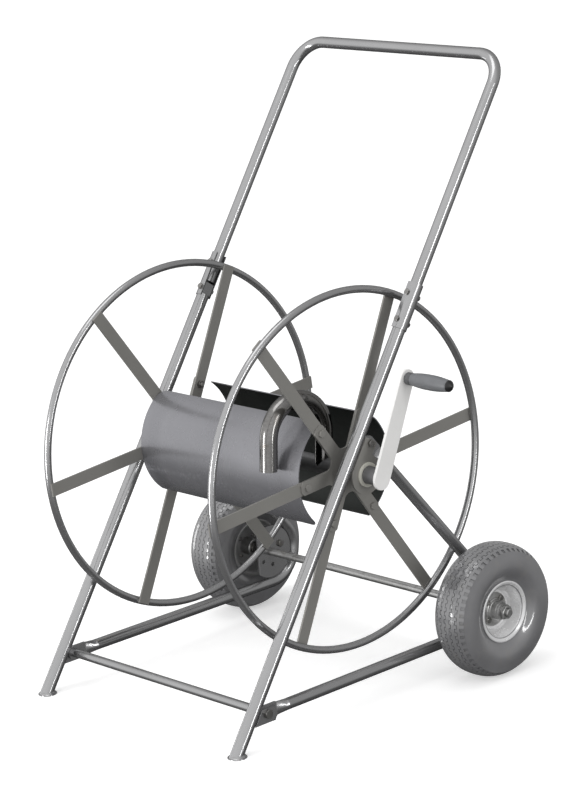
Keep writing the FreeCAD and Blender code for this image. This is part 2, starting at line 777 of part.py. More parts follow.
def make_wheel(name, side):
    """A pneumatic tyre on a two-piece rim, with a hub tube and two bearings."""
    turn = TO_RIGHT if side > 0 else TO_LEFT
    middle = at(side * size("wheel_middle"), wheel_y, wheel_z, turn)
    for half, way in (("outer", 1), ("inner", -1)):
        body = new_body(f"rim_{half}_{name}", middle)
        profile = new_sketch(body, "profile", "XZ_Plane")
        rim_profile(profile, way)
        revolve(body, profile)
        holes = new_sketch(body, "bolt_holes")
        for angle in (45.0, 135.0, 225.0, 315.0):
            circle(holes, 3.1, size("rim_bolts") * cosine(angle), size("rim_bolts") * sine(angle))
        pocket_through(body, holes)
    tyre = new_body(f"tyre_{name}", middle)
    half = size("tyre_half_width")
    crown = size("wheel_radius")
    foot_in = as_size(20.0)
    foot_out = size("rim_half_width") - 3.1
    seat = size("bead_radius") + 0.1
    flange = size("rim_radius") + 1.0
    outside = [(seat, foot_out), (flange, foot_out), (88.0, half), (113.0, half - 2.5),
               (crown - 4.0, half - 16.0), (crown, 0.0)]
    inside = [(seat, foot_in), (58.0, foot_in + 2.0), (86.0, half - 7.0), (110.0, half - 9.0),
              (crown - 11.0, half - 22.0), (crown - 9.0, 0.0)]
    loop = outside + [(r, -as_size(a)) for r, a in reversed(outside[:-1])]
    loop += [(r, -as_size(a)) for r, a in inside]
    loop += [(r, a) for r, a in reversed(inside[:-1])]
    section = new_sketch(tyre, "section", "XZ_Plane")
    outline(section, loop)
    revolve(tyre, section)
    reach = size("hub_half_length")
    start = side * (size("wheel_middle") - reach)
    hub = tube(f"hub_tube_{name}", size("hub_radius"), size("hub_bore"), 2 * reach,
               at(start, wheel_y, wheel_z, turn))
    metal = size("rim_sheet")
    sheet_thickness = size("hub_flange_sheet")
    flange_place = at(side * (size("wheel_middle") + metal), wheel_y, wheel_z, turn)
    disc = tube(f"hub_disc_{name}", size("hub_flange"), size("hub_radius") - 1.0,
                sheet_thickness, flange_place)
    for index, angle in enumerate((45.0, 135.0, 225.0, 315.0)):
        spot = V(number(size("rim_bolts")), 0, 0)
        turned = FreeCAD.Placement(V(0, 0, 0), FreeCAD.Rotation(V(0, 0, 1), angle))
        hole = cylinder(f"hub_hole_{name}_{index}", 3.1, sheet_thickness,
                        flange_place.multiply(turned).multiply(
                            FreeCAD.Placement(spot, FreeCAD.Rotation())))
        disc = cut(f"hub_disc_{name}_{index}", disc, hole)
    finish(fuse(f"hub_whole_{name}", hub, disc), f"hub_{name}")
    bearings = []
    wide = as_size(7.0)
    for index, offset in enumerate((-reach, reach - wide)):
        place = at(side * (size("wheel_middle") + offset), wheel_y, wheel_z, turn)
        bearings.append(tube(f"bearing_{name}_{index}", size("hub_bore") - 0.03,
                             size("axle_radius") + 0.05, wide, place))
    group(f"bearings_{name}", bearings)
    bolts = []
    for index, angle in enumerate((45.0, 135.0, 225.0, 315.0)):
        spot = V(number(size("rim_bolts") * cosine(angle)),
                 number(size("rim_bolts") * sine(angle)), number(metal + sheet_thickness))
        flip = FreeCAD.Rotation(V(1, 0, 0), 180)
        bolts.append(bolt(f"rim_bolt_{name}_{index}", 3.0, 10.0, 4.0, 14.0,
                          middle.multiply(FreeCAD.Placement(spot, flip))))
    group(f"rim_bolts_{name}", bolts)


# The reel.

def make_ring(name, side):
    """A round tube rolled into a ring."""
    place = at(side * size("ring_half_spacing"), as_size(0.0), reel_z, TO_RIGHT)
    pieces = []
    for part, radius in (("outside", "ring_tube"), ("inside", "ring_hollow")):
        torus = doc.addObject("Part::Torus", f"ring_{name}_{part}")
        bind(torus, "Radius1", size("ring_radius"))
        bind(torus, "Radius2", size(radius))
        torus.Placement = place
        pieces.append(torus)
    finish(cut(f"ring_{name}_tube", *pieces), f"ring_{name}")


def make_spokes(name, side):
    """Six flat bars, on the ring's inner side."""
    start = spoke_inner_face if side > 0 else -spoke_outer
    length = size("ring_radius") + 4.0 - size("spoke_inner")
    bolt_at = size("star_bolts") - size("spoke_inner")
    bars = []
    for index in range(6):
        place = about_reel(size("spoke_angle") + 60.0 * index, start)
        shift = V(number(size("spoke_inner")), -number(size("spoke_width")) / 2, 0)
        corner = place.multiply(FreeCAD.Placement(shift, FreeCAD.Rotation()))
        bar = block(f"spoke_{name}_{index}_bar", length, size("spoke_width"),
                    size("spoke_thickness"), corner)
        middle = V(bolt_at.number, number(size("spoke_width")) / 2, 0)
        hole = cylinder(f"spoke_{name}_{index}_hole", size("bolt_hole"), size("spoke_thickness"),
                        corner.multiply(FreeCAD.Placement(middle, FreeCAD.Rotation())))
        bars.append(cut(f"spoke_{name}_{index}", bar, hole))
    group(f"spokes_{name}", bars)


def make_star_hub(name, side):
    """A pressed plate with six arms, which clamps the spokes and is welded to the axle."""
    start = spoke_outer if side > 0 else -star_outer
    thick = size("star_thickness")
    half = size("spoke_width") / 2 + 0.5
    reach = size("star_reach")
    body = new_body(f"star_hub_{name}", about_reel(size("spoke_angle"), start))
    middle = new_sketch(body, "middle")
    circle(middle, size("star_middle"))
    circle(middle, size("pipe_radius") + 0.05)
    pad(body, middle, thick)
    arm = new_sketch(body, "arm")
    outline(arm, [(size("pipe_radius") + 9.0, -half), (reach - 6.0, -half), (reach, -half + 6.0),
                  (reach, half - 6.0), (reach - 6.0, half), (size("pipe_radius") + 9.0, half)])
    circle(arm, size("bolt_hole"), size("star_bolts"), 0.0)
    first = pad(body, arm, thick)
    pattern = body.newObject("PartDesign::PolarPattern", f"{body.Label}_arms")
    pattern.Originals = [first]
    pattern.Axis = (arm, ["N_Axis"])
    pattern.Angle = 360.0
    pattern.Occurrences = 6
    body.Tip = pattern
    doc.recompute()
    corner = number(size("star_middle"))

    def between_arms(edge):
        point = edge.CenterOfMass
        near = abs(math.hypot(point.x, point.y) - corner) < 0.5
        return near and isinstance(edge.Curve, Part.Line)

    round_edges(body, size("star_web"), between_arms, "webs")


def make_shell(name, angle):
    """A curved sheet of the drum, from disc to disc, with rounded corners."""
    span = size("shell_span")
    corner = size("shell_corner")
    start = about_reel(angle - span / 2, -spoke_inner_face)
    sector = cylinder(f"shell_{name}_outside", size("shell_radius"), 2 * spoke_inner_face, start)
    bind(sector, "Angle", span)
    hollow = cylinder(f"shell_{name}_inside", size("shell_radius") - size("shell_sheet"),
                      2 * spoke_inner_face, start)
    shell = cut(f"shell_{name}_sector", sector, hollow)
    depth = as_size(10.0)
    for index, (end, around) in enumerate((e, a) for e in (-1, 1) for a in (-1, 1)):
        place = about_reel(angle + around * span / 2, end * spoke_inner_face)
        base = V(number(size("shell_radius") + 3.0), 0, 0)
        axes = FreeCAD.Rotation(V(0, -around, 0), V(0, 0, -end), V(around * end, 0, 0), "XYZ")
        if around * end < 0:
            base = V(base.x - depth.number, 0, 0)
        inwards = place.multiply(FreeCAD.Placement(base, axes))
        if around * end > 0:
            inwards = inwards.multiply(FreeCAD.Placement(V(0, 0, -depth.number),
                                                         FreeCAD.Rotation()))
        square = block(f"corner_{name}_{index}_square", corner, corner, depth, inwards)
        arc_middle = inwards.multiply(FreeCAD.Placement(V(corner.number, corner.number, 0),
                                                        FreeCAD.Rotation()))
        arc = cylinder(f"corner_{name}_{index}_round", corner, depth, arc_middle)
        shell = cut(f"shell_{name}_{index}", shell, cut(f"corner_{name}_{index}", square, arc))
    finish(shell, f"drum_shell_{name}")


def make_reel_axle():
    """The one inch pipe through the reel, with a side port for the hose pipe and a blank."""
    left = size("axle_left")
    place = about_reel(0.0, -left)
    pipe = tube("axle_pipe", size("pipe_radius"), size("pipe_bore"), left + size("crank_x"), place)
    up = about_reel(90.0 - size("pipe_lean"), size("pipe_x"))
    port_place = up.multiply(FreeCAD.Placement(V(0, 0, 0), FreeCAD.Rotation(V(0, 1, 0), 90)))
    port = cylinder("axle_port", 13.0, 25.0, port_place)
    finish(cut("axle_with_port", pipe, port), "reel_axle")
    blank = cylinder("blank", size("pipe_bore") - 0.05, 4.0,
                     about_reel(0.0, size("pipe_x") + 20.0))
    finish(blank, "axle_blank")


def make_hose_pipe():
    """A pipe that leaves the axle between the drum shells and bends over to hang in front."""
    rise = size("pipe_rise")
    bend = size("pipe_bend")
    drop = size("pipe_drop")
    lean = number(size("pipe_lean"))
    forwards = V(0, -math.cos(math.radians(lean)), math.sin(math.radians(lean)))
    upwards = V(0, math.sin(math.radians(lean)), math.cos(math.radians(lean)))
    frame = FreeCAD.Rotation(forwards, upwards, forwards.cross(upwards), "ZXY")
    body = new_body("hose_pipe", at(size("pipe_x"), as_size(0.0), reel_z, frame))
    path = new_sketch(body, "path")
    outline(path, [(0.0, 0.0), (0.0, rise), (bend, rise + bend), (2 * bend, rise),
                   (2 * bend, rise - drop)], arcs={1: -bend, 2: -bend}, closed=False)
    section = new_sketch(body, "section", "XZ_Plane")
    circle(section, size("pipe_radius"))
    circle(section, size("pipe_bore"))
    sweep(body, section, path)
    saddle = new_sketch(body, "saddle")
    circle(saddle, size("pipe_radius") + 0.02)
    pocket_through(body, saddle)


def make_reel_fasteners():
    """Hub bolts and nuts, and the collars that keep the reel between its bushes."""
    bolts = []
    nuts = []
    for name, side in SIDES:
        inwards = TO_LEFT if side > 0 else TO_RIGHT
        for index in range(6):
            angle = size("spoke_angle") + 60.0 * index
            y = size("star_bolts") * cosine(angle)
            z = reel_z + size("star_bolts") * sine(angle)
            grip = size("star_thickness") + size("spoke_thickness")
            bolts.append(bolt(f"hub_bolt_{name}_{index}", size("bolt_radius"), 13.0, 5.3,
                              grip + 8.5, at(side * star_outer, y, z, inwards)))
            nuts.append(nut(f"hub_nut_{name}_{index}", size("bolt_radius") + 0.02, 13.0, 6.5,
                            at(side * spoke_inner_face, y, z, inwards)))
        start = side * (plate_inner - 15.0)
        collar = tube(f"collar_{name}", 22.5, size("pipe_radius") + 0.02, 9.0,
                      at(start, as_size(0.0), reel_z, TO_RIGHT if side > 0 else TO_LEFT))
        finish(collar, f"axle_collar_{name}")
    group("hub_bolts", bolts)
    group("hub_nuts", nuts)


def make_crank():
    """A flat, tapered arm with rounded ends, a spindle and a turning grip with an end cap."""
    half = size("crank_half_width")
    narrow = size("crank_tip_half_width")
    tail = size("crank_tail")
    radius = size("crank_radius")
    up = about_reel(90.0 - size("crank_lean"), size("crank_x"))
    arm = new_body("crank_arm", up)
    shape = new_sketch(arm, "outline")
    outline(shape, [(-tail, -half), (radius, -narrow), (radius + narrow, 0.0), (radius, narrow),
                    (-tail, half), (-tail - half, 0.0)],
            arcs={1: narrow, 2: narrow, 4: half, 5: half})
    pad(arm, shape, size("crank_thickness"))
    face = number(size("crank_thickness"))
    grip_start = up.multiply(FreeCAD.Placement(V(radius.number, 0, face), FreeCAD.Rotation()))
    spindle = cylinder("spindle", size("spindle_radius"), size("grip_length") - 4.0, grip_start)
    finish(spindle, "grip_spindle")
    length = size("grip_length")
    grip = new_body("grip", grip_start)
    section = new_sketch(grip, "section", "XZ_Plane")
    bore = size("spindle_radius") + 0.06
    outline(section, [(bore, 0.5), (11.0, 0.5), (12.0, 1.5), (12.0, 11.0), (11.0, 13.0),
                      (14.6, 56.0), (11.4, length), (bore, length)],
            arcs={4: 260.0, 5: 265.0})
    revolve(grip, section)
    cap = new_body("grip_cap", grip_start)
    dome = new_sketch(cap, "section", "XZ_Plane")
    tip = size("cap_length")
    outline(dome, [(0.0, length), (11.2, length), (10.6, length + 0.2 * tip),
                   (8.4, length + 0.46 * tip), (4.6, length + 0.78 * tip),
                   (0.0, length + tip)])
    revolve(cap, dome)


def make_inlet():
    """A swivel union on the axle's left end, threaded outside for the supply hose."""
    start = -(size("axle_left") - 7.5)
    place = about_reel(0.0, start).multiply(
        FreeCAD.Placement(V(0, 0, 0), FreeCAD.Rotation(V(1, 0, 0), 180)))

    def along(distance):
        return place.multiply(FreeCAD.Placement(V(0, 0, distance), FreeCAD.Rotation()))

    nut_length = 18.0
    thread_length = 15.0
    whole = fuse("inlet_blank", hexagon("inlet_hexagon", 41.0, nut_length, place),
                 cylinder("inlet_thread", 16.6, thread_length, along(nut_length)))
    socket = cylinder("inlet_socket", size("pipe_radius") + 0.06, 10.0, place)
    bore = cylinder("inlet_bore", 12.0, nut_length + thread_length, place)
    finish(cut("inlet_body", cut("inlet_with_socket", whole, socket), bore), "inlet_swivel")
    finish(tube("inlet_washer", 16.5, 12.6, 2.2, along(7.75)), "inlet_seal")


strut_line = None
for side_name, side_sign in SIDES:
    make_leg(side_name, side_sign)
    make_foot(side_name, side_sign)
    make_gusset(side_name, side_sign)
    strut_line = make_side_tube(side_name, side_sign)
    make_axle_plate(side_name, side_sign)
    make_bearing_plate(side_name, side_sign, strut_line)
    make_bush(side_name, side_sign)
    make_clip(side_name, side_sign)
    make_wheel(side_name, side_sign)
    make_ring(side_name, side_sign)
    make_spokes(side_name, side_sign)
    make_star_hub(side_name, side_sign)
make_crossbar()
make_handle()
clip_nuts = make_clip_fasteners()
make_side_fasteners(strut_line, clip_nuts)
make_wheel_axle()
make_shell("front", size("shell_angle"))
make_shell("rear", size("shell_angle") + 180.0)
make_reel_axle()
make_hose_pipe()
make_reel_fasteners()
make_crank()
make_inlet()
doc.recompute()

for thing in doc.Objects:
    if {"Invalid", "Error"} & set(thing.State):
        raise RuntimeError(f"{thing.Name} did not build: {thing.State}")
box = FreeCAD.BoundBox()
for node in nodes:
    if node.Shape.isNull() or not node.Shape.isValid() or not node.Shape.Solids:
        raise RuntimeError(f"{node.Label} has no valid solid")
    box.add(node.Shape.BoundBox)
    node.Shape.exportStep(os.path.join("parts", f"{node.Label}.step"))
print(len(nodes), "nodes, box", box)
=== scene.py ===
import json
import math

import bmesh
import bpy
from mathutils import Matrix, Vector


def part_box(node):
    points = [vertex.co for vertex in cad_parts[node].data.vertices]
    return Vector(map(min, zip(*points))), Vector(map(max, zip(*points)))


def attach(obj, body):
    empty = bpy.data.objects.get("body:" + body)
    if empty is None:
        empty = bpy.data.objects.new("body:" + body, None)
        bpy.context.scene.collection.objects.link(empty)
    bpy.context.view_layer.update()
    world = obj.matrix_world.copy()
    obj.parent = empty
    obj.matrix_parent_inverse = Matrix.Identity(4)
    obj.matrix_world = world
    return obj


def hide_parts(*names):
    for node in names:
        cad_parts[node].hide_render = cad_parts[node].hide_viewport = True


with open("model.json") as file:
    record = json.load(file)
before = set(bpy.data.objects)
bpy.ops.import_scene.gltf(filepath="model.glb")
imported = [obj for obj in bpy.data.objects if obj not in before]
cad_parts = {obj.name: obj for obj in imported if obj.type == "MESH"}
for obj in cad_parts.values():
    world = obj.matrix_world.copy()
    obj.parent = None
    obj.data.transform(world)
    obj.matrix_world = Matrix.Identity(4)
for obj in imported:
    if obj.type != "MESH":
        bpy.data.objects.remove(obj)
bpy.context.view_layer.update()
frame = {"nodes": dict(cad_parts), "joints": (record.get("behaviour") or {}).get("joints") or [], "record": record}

# Garden hose reel cart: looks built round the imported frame. Metres, +Z up, +Y towards the wheels,
# +X towards the crank. Places come from the frame's joints and boxes. Lengths written here in
# millimetres are multiplied by MM. MERGE is the distance below which vertices are one,
# SPOKE_TURN the angle of the first spoke, LEG_LEAN the legs' lean from upright and HUB_TUBE the
# radius of a wheel's hub tube in millimetres.

MM = 0.001
TURN = 2 * math.pi
X = Vector((1, 0, 0))
Y = Vector((0, 1, 0))
Z = Vector((0, 0, 1))
MERGE = 1e-6
SPOKE_TURN = math.radians(5.0)
LEG_LEAN = math.radians(34.5)
LEG_NORMAL = Vector((0, math.cos(LEG_LEAN), -math.sin(LEG_LEAN)))
HUB_TUBE = 17.4
SIDES = (("left", -1), ("right", 1))
NODES = frame["nodes"]
JOINTS = {joint["name"]: Vector(joint["pos_m"]) for joint in frame["joints"]}
REEL = JOINTS["reel_spin"]
FINISHES = {}


# Boxes of CAD nodes.

def middle(node):
    low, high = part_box(node)
    return (low + high) / 2


def extent(node):
    low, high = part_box(node)
    return high - low


# Materials. Every finish is a Principled shader whose colour, roughness and height come from
# noise in the piece's own coordinates.

class Finish:
    """A material under construction: one shader and the noise that feeds it."""

    def __init__(self, name, metallic=0.0, coat=0.0, coat_roughness=0.1, specular=0.5,
                 edge_tint=(1.0, 1.0, 1.0), coat_ior=1.5):
        self.material = bpy.data.materials.new(name)
        self.material.use_nodes = True
        self.tree = self.material.node_tree
        self.shader = self.tree.nodes["Principled BSDF"]
        self.shader.inputs["Metallic"].default_value = metallic
        self.shader.inputs["Coat Weight"].default_value = coat
        self.shader.inputs["Coat Roughness"].default_value = coat_roughness
        self.shader.inputs["Coat IOR"].default_value = coat_ior
        self.shader.inputs["Specular IOR Level"].default_value = specular
        self.shader.inputs["Specular Tint"].default_value = (*edge_tint, 1.0)
        self.place = self.node("ShaderNodeTexCoord").outputs["Object"]
        FINISHES[name] = self.material

    def node(self, kind, **settings):
        made = self.tree.nodes.new(kind)
        for key, value in settings.items():
            setattr(made, key, value)
        return made

    def link(self, source, target):
        self.tree.links.new(source, target)

    def noise(self, scale, detail=3.0, stretch=(1.0, 1.0, 1.0), distortion=0.0):
        """Noise with features of about 1 / scale metres, longer where stretch is under 1."""
        mapping = self.node("ShaderNodeMapping")
        mapping.inputs["Scale"].default_value = stretch
        self.link(self.place, mapping.inputs["Vector"])
        texture = self.node("ShaderNodeTexNoise")
        texture.inputs["Scale"].default_value = scale
        texture.inputs["Detail"].default_value = detail
        texture.inputs["Distortion"].default_value = distortion
        self.link(mapping.outputs["Vector"], texture.inputs["Vector"])
        return texture.outputs["Fac"]

    def remap(self, source, low, high, to_low, to_high):
        ramp = self.node("ShaderNodeMapRange")
        for socket, value in zip(("From Min", "From Max", "To Min", "To Max"),
                                 (low, high, to_low, to_high)):
            ramp.inputs[socket].default_value = value
        self.link(source, ramp.inputs["Value"])
        return ramp.outputs["Result"]

    def arithmetic(self, operation, first, second):
        made = self.node("ShaderNodeMath", operation=operation)
        for socket, value in zip(made.inputs, (first, second)):
            if isinstance(value, (int, float)):
                socket.default_value = value
            else:
                self.link(value, socket)
        return made.outputs["Value"]

    def mix(self, factor, first, second):
        made = self.node("ShaderNodeMix", data_type="RGBA")
        self.link(factor, made.inputs["Factor"])
        for socket, value in zip((made.inputs[6], made.inputs[7]), (first, second)):
            if isinstance(value, tuple):
                socket.default_value = (*value, 1.0)
            else:
                self.link(value, socket)
        return made.outputs[2]

    def colour(self, source):
        self.link(source, self.shader.inputs["Base Color"])

    def roughness(self, source):
        self.link(source, self.shader.inputs["Roughness"])

    def bump(self, source, height, strength):
        """Turns a height between 0 and 1 into relief that is height metres deep."""
        made = self.node("ShaderNodeBump")
        made.inputs["Strength"].default_value = strength
        made.inputs["Distance"].default_value = height
        self.link(source, made.inputs["Height"])
        self.link(made.outputs["Normal"], self.shader.inputs["Normal"])

    def worn_edges(self, radius, amount):
        """1 on worn stretches of sharp edges, 0 elsewhere."""
        bevel = self.node("ShaderNodeBevel", samples=4)
        bevel.inputs["Radius"].default_value = radius
        geometry = self.node("ShaderNodeNewGeometry")
        product = self.node("ShaderNodeVectorMath", operation="DOT_PRODUCT")
        self.link(bevel.outputs["Normal"], product.inputs[0])
        self.link(geometry.outputs["Normal"], product.inputs[1])
        edge = self.remap(product.outputs["Value"], 0.98, 0.86, 0.0, 1.0)
        patches = self.remap(self.noise(85.0, 5.0), 0.52, 0.62, 0.0, amount)
        return self.arithmetic("MULTIPLY", edge, patches)


def shade(colour, factor):
    return tuple(min(1.0, channel * factor) for channel in colour)


def painted(name, colour, roughness, metallic=0.85, coat=0.0, wear=0.25, dirt=0.08,
            bare=(0.5, 0.49, 0.47), edge_tint=(0.4, 0.4, 0.4)):
    """Sprayed metallic paint: cloudy tone, orange peel, fine dust specks and worn edges."""
    f = Finish(name, metallic, coat, coat_roughness=0.12, edge_tint=edge_tint)
    cloud = f.remap(f.noise(7.0, 4.0), 0.3, 0.7, 0.0, 1.0)
    tone = f.mix(cloud, shade(colour, 0.94), shade(colour, 1.05))
    specks = f.remap(f.noise(900.0, 2.0), 0.68, 0.74, 0.0, 0.22)
    tone = f.mix(specks, tone, shade(colour, 0.6))
    smear = f.remap(f.noise(24.0, 6.0, (1.0, 1.0, 0.25), 1.5), 0.58, 0.78, 0.0, dirt)
    tone = f.mix(smear, tone, shade(colour, 0.75))
    worn = f.worn_edges(0.7 * MM, wear)
    f.colour(f.mix(worn, tone, bare))
    rough = f.remap(f.noise(30.0, 4.0), 0.25, 0.75, roughness * 0.88, roughness * 1.15)
    f.roughness(f.arithmetic("ADD", rough, f.arithmetic("MULTIPLY", smear, 0.6)))
    f.bump(f.noise(300.0, 2.0), 0.008 * MM, 0.4)


def bare_metal(name, colour, roughness, brushed=(1.0, 1.0, 1.0), stain=(0.16, 0.14, 0.12),
               relief=0.02):
    """Bare or plated metal with drawing marks, dull patches and a little staining."""
    f = Finish(name, metallic=1.0, edge_tint=(0.55, 0.55, 0.55))
    lines = f.noise(300.0, 4.0, brushed)
    tone = f.mix(f.remap(lines, 0.3, 0.7, 0.0, 1.0), shade(colour, 0.86), shade(colour, 1.1))
    dull = f.remap(f.noise(38.0, 6.0, (1.0, 1.0, 1.0), 0.8), 0.56, 0.74, 0.0, 0.5)
    tone = f.mix(dull, tone, stain)
    f.colour(tone)
    rough = f.remap(f.noise(55.0, 4.0), 0.3, 0.7, roughness * 0.75, roughness * 1.3)
    f.roughness(f.arithmetic("ADD", rough, f.arithmetic("MULTIPLY", dull, 0.35)))
    f.bump(lines, relief * MM, 0.5)


def rubber(name, colour, roughness):
    """Moulded tyre rubber: faint bloom, dust in patches and a fine mould texture."""
    f = Finish(name, coat=1.0, specular=0.6, coat_ior=1.8)
    bloom = f.remap(f.noise(11.0, 5.0), 0.35, 0.7, 0.0, 1.0)
    tone = f.mix(bloom, shade(colour, 0.88), shade(colour, 1.12))
    dust = f.remap(f.noise(46.0, 7.0, (1.0, 1.0, 1.0), 1.0), 0.56, 0.72, 0.0, 0.3)
    f.colour(f.mix(dust, tone, (0.24, 0.23, 0.21)))
    grain = f.noise(900.0, 3.0)
    rough = f.remap(f.noise(60.0, 4.0), 0.3, 0.7, roughness * 0.8, roughness * 1.25)
    f.roughness(f.arithmetic("ADD", rough, f.arithmetic("MULTIPLY", dust, 0.6)))
    f.bump(grain, 0.06 * MM, 0.5)


def plastic(name, colour, roughness):
    """Moulded plastic: slight mottling, mould grain and rubbed, shinier patches."""
    f = Finish(name)
    mottle = f.remap(f.noise(35.0, 4.0), 0.3, 0.7, 0.0, 1.0)
    tone = f.mix(mottle, shade(colour, 0.9), shade(colour, 1.08))
    grime = f.remap(f.noise(90.0, 6.0, (1.0, 1.0, 1.0), 1.2), 0.58, 0.75, 0.0, 0.3)
    f.colour(f.mix(grime, tone, shade(colour, 0.5)))
    f.roughness(f.remap(f.noise(20.0, 3.0), 0.3, 0.7, roughness * 0.75, roughness * 1.2))
    f.bump(f.noise(1400.0, 2.0), 0.05 * MM, 0.6)


def make_finishes():
    painted("frame_paint", (0.42, 0.42, 0.425), 0.18)
    painted("spoke_paint", (0.28, 0.274, 0.258), 0.45, metallic=0.2)
    painted("drum_paint", (0.285, 0.285, 0.303), 0.26, metallic=0.6, wear=0.15)
    # Painted shade: near-black paint on the drum shells' inner faces stands in for the shade inside the drum.
    painted("drum_inside_painted_shade", (0.032, 0.036, 0.033), 0.4, metallic=0.1, wear=0.1)
    painted("crank_paint", (0.94, 0.934, 0.922), 0.42, metallic=0.0, wear=0.4,
            bare=(0.35, 0.34, 0.33), edge_tint=(1.0, 1.0, 1.0))
    painted("rim_paint", (0.86, 0.86, 0.865), 0.26, metallic=0.3, coat=0.3, wear=0.1, dirt=0.03)
    # Painted shade: the rims' inner halves are the outer halves' paint, darkened for the shade inside the wheel.
    painted("rim_inner_painted_shade", (0.3, 0.3, 0.3), 0.35, metallic=0.3, wear=0.1)
    painted("axle_paint", (0.19, 0.19, 0.195), 0.42, metallic=0.4)
    bare_metal("fastener_zinc", (0.3, 0.295, 0.285), 0.3)
    bare_metal("pipe_steel", (0.24, 0.235, 0.23), 0.15, (0.1, 1.0, 1.0), relief=0.004)
    bare_metal("hub_steel", (0.48, 0.48, 0.475), 0.38)
    bare_metal("brass", (0.55, 0.38, 0.16), 0.3, stain=(0.2, 0.13, 0.06))
    rubber("tyre_rubber", (0.185, 0.185, 0.192), 0.36)
    rubber("seal_rubber", (0.03, 0.03, 0.03), 0.6)
    plastic("grip_plastic", (0.17, 0.175, 0.185), 0.4)
    plastic("collar_plastic", (0.1, 0.102, 0.108), 0.35)
    plastic("cap_plastic", (0.012, 0.012, 0.013), 0.35)
    plastic("bush_plastic", (0.68, 0.67, 0.6), 0.45)


# Meshes.

def piece(name, mesh_source, finish, body, slot, *replaced):
    """Makes an object of a bmesh, gives it a finish and hangs it on a body."""
    mesh = bpy.data.meshes.new(name)
    mesh_source.normal_update()
    mesh_source.to_mesh(mesh)
    mesh_source.free()
    made = bpy.data.objects.new(name, mesh)
    bpy.context.scene.collection.objects.link(made)
    mesh.materials.append(FINISHES[finish])
    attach(made, body)
    if replaced:
        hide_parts(*replaced)
    return made


def smooth(made, angle):
    """Shades smooth across edges flatter than angle degrees."""
    for polygon in made.data.polygons:
        polygon.use_smooth = True
    made.data.set_sharp_from_angle(angle=math.radians(angle))


def bevel(made, width, segments):
    """Rounds the edges sharper than 35 degrees and applies the result."""
    modifier = made.modifiers.new("bevel", "BEVEL")
    modifier.width = width
    modifier.segments = segments
    modifier.limit_method = "ANGLE"
    modifier.angle_limit = math.radians(35.0)
    modifier.use_clamp_overlap = True
    graph = bpy.context.evaluated_depsgraph_get()
    finished = bpy.data.meshes.new_from_object(made.evaluated_get(graph))
    made.modifiers.clear()
    old = made.data
    made.data = finished
    bpy.data.meshes.remove(old)


def shade_by_area(made):
    """Smooth shading that leaves large flat faces flat and curves only the bevels."""
    mesh = made.data
    meeting = [[] for _ in mesh.vertices]
    for polygon in mesh.polygons:
        polygon.use_smooth = True
        for index in polygon.vertices:
            meeting[index].append(polygon)
    normals = []
    for polygon in mesh.polygons:
        for index in polygon.vertices:
            total = Vector()
            for other in meeting[index]:
                if other.normal.dot(polygon.normal) > 0.5:
                    total += other.normal * other.area
            normals.append(tuple(total.normalized()))
    mesh.normals_split_custom_set(normals)


def circle(mesh, centre, across, third, radii):
    """A ring of vertices round a centre, one for each radius."""
    made = []
    for index, radius in enumerate(radii):
        angle = TURN * index / len(radii)
        made.append(mesh.verts.new(centre + across * (radius * math.cos(angle))
                                   + third * (radius * math.sin(angle))))
    return made


def bridge(mesh, first, second):
    """Faces between two rings with the same number of vertices."""
    for index in range(len(first)):
        after = (index + 1) % len(first)
        mesh.faces.new((first[index], first[after], second[after], second[index]))


def rounded(corners, radius, steps=4):
    """A closed outline whose corners are arcs. A corner may be (x, y, its own radius)."""
    outline = []
    count = len(corners)
    for index, corner in enumerate(corners):
        here = Vector(corner[:2])
        before = Vector(corners[index - 1][:2])
        after = Vector(corners[(index + 1) % count][:2])
        wanted = corner[2] if len(corner) > 2 else radius
        back = before - here
        ahead = after - here
        half = back.angle(ahead) / 2
        if wanted <= 0 or half > math.radians(88):
            outline.append(here)
            continue
        cut = min(wanted / math.tan(half), back.length * 0.48, ahead.length * 0.48)
        start = here + back.normalized() * cut
        end = here + ahead.normalized() * cut
        for step in range(steps + 1):
            t = step / steps
            outline.append(start.lerp(here, t).lerp(here.lerp(end, t), t))
    return outline


def lathe(outline, centre, along, segments=96):
    """Turns a closed outline of (radius, distance) round an axis. Radius 0 closes the shape."""
    mesh = bmesh.new()
    along = along.normalized()
    across = along.orthogonal().normalized()
    third = along.cross(across)
    rings = []
    for radius, distance in outline:
        base = centre + along * distance
        if radius < 1e-7:
            rings.append([mesh.verts.new(base)] * segments)
            continue
        rings.append(circle(mesh, base, across, third, [radius] * segments))
    for first, second in zip(rings, rings[1:] + rings[:1]):
        for index in range(segments):
            after = (index + 1) % segments
            corners = [first[index], second[index], second[after], first[after]]
            unique = list(dict.fromkeys(corners))
            if len(unique) > 2:
                mesh.faces.new(unique)
    bmesh.ops.recalc_face_normals(mesh, faces=mesh.faces)
    return mesh


def millimetres(points):
    return [tuple(value * MM for value in point) for point in points]


def cad_mesh(node):
    """A copy of a CAD node's mesh with its doubled vertices merged."""
    mesh = bmesh.new()
    mesh.from_mesh(NODES[node].data)
    bmesh.ops.remove_doubles(mesh, verts=mesh.verts, dist=MERGE)
    return mesh


def solids(node):
    """The separate solids of a CAD node, each as a list of points."""
    mesh = cad_mesh(node)
    groups = []
    seen = set()
    for start in mesh.verts:
        if start in seen:
            continue
        seen.add(start)
        queue = [start]
        for vert in queue:
            for edge in vert.link_edges:
                other = edge.other_vert(vert)
                if other not in seen:
                    seen.add(other)
                    queue.append(other)
        groups.append([vert.co.copy() for vert in queue])
    mesh.free()
    return groups


def softened(node, finish, width, segments=2):
    """A copy of a CAD node whose sharp edges are rounded, in place of the node."""
    mesh = cad_mesh(node)
    bmesh.ops.dissolve_limit(mesh, angle_limit=math.radians(0.6), verts=mesh.verts,
                             edges=mesh.edges)
    made = piece(f"{node}_body", mesh, finish, body_name(node), slot_of(node), node)
    bevel(made, width, segments)
    shade_by_area(made)


def body_name(node):
    """The body that a CAD node moves with."""
    for name, members in frame["record"]["behaviour"]["bodies"].items():
        if node in members:
            return name
    raise KeyError(node)


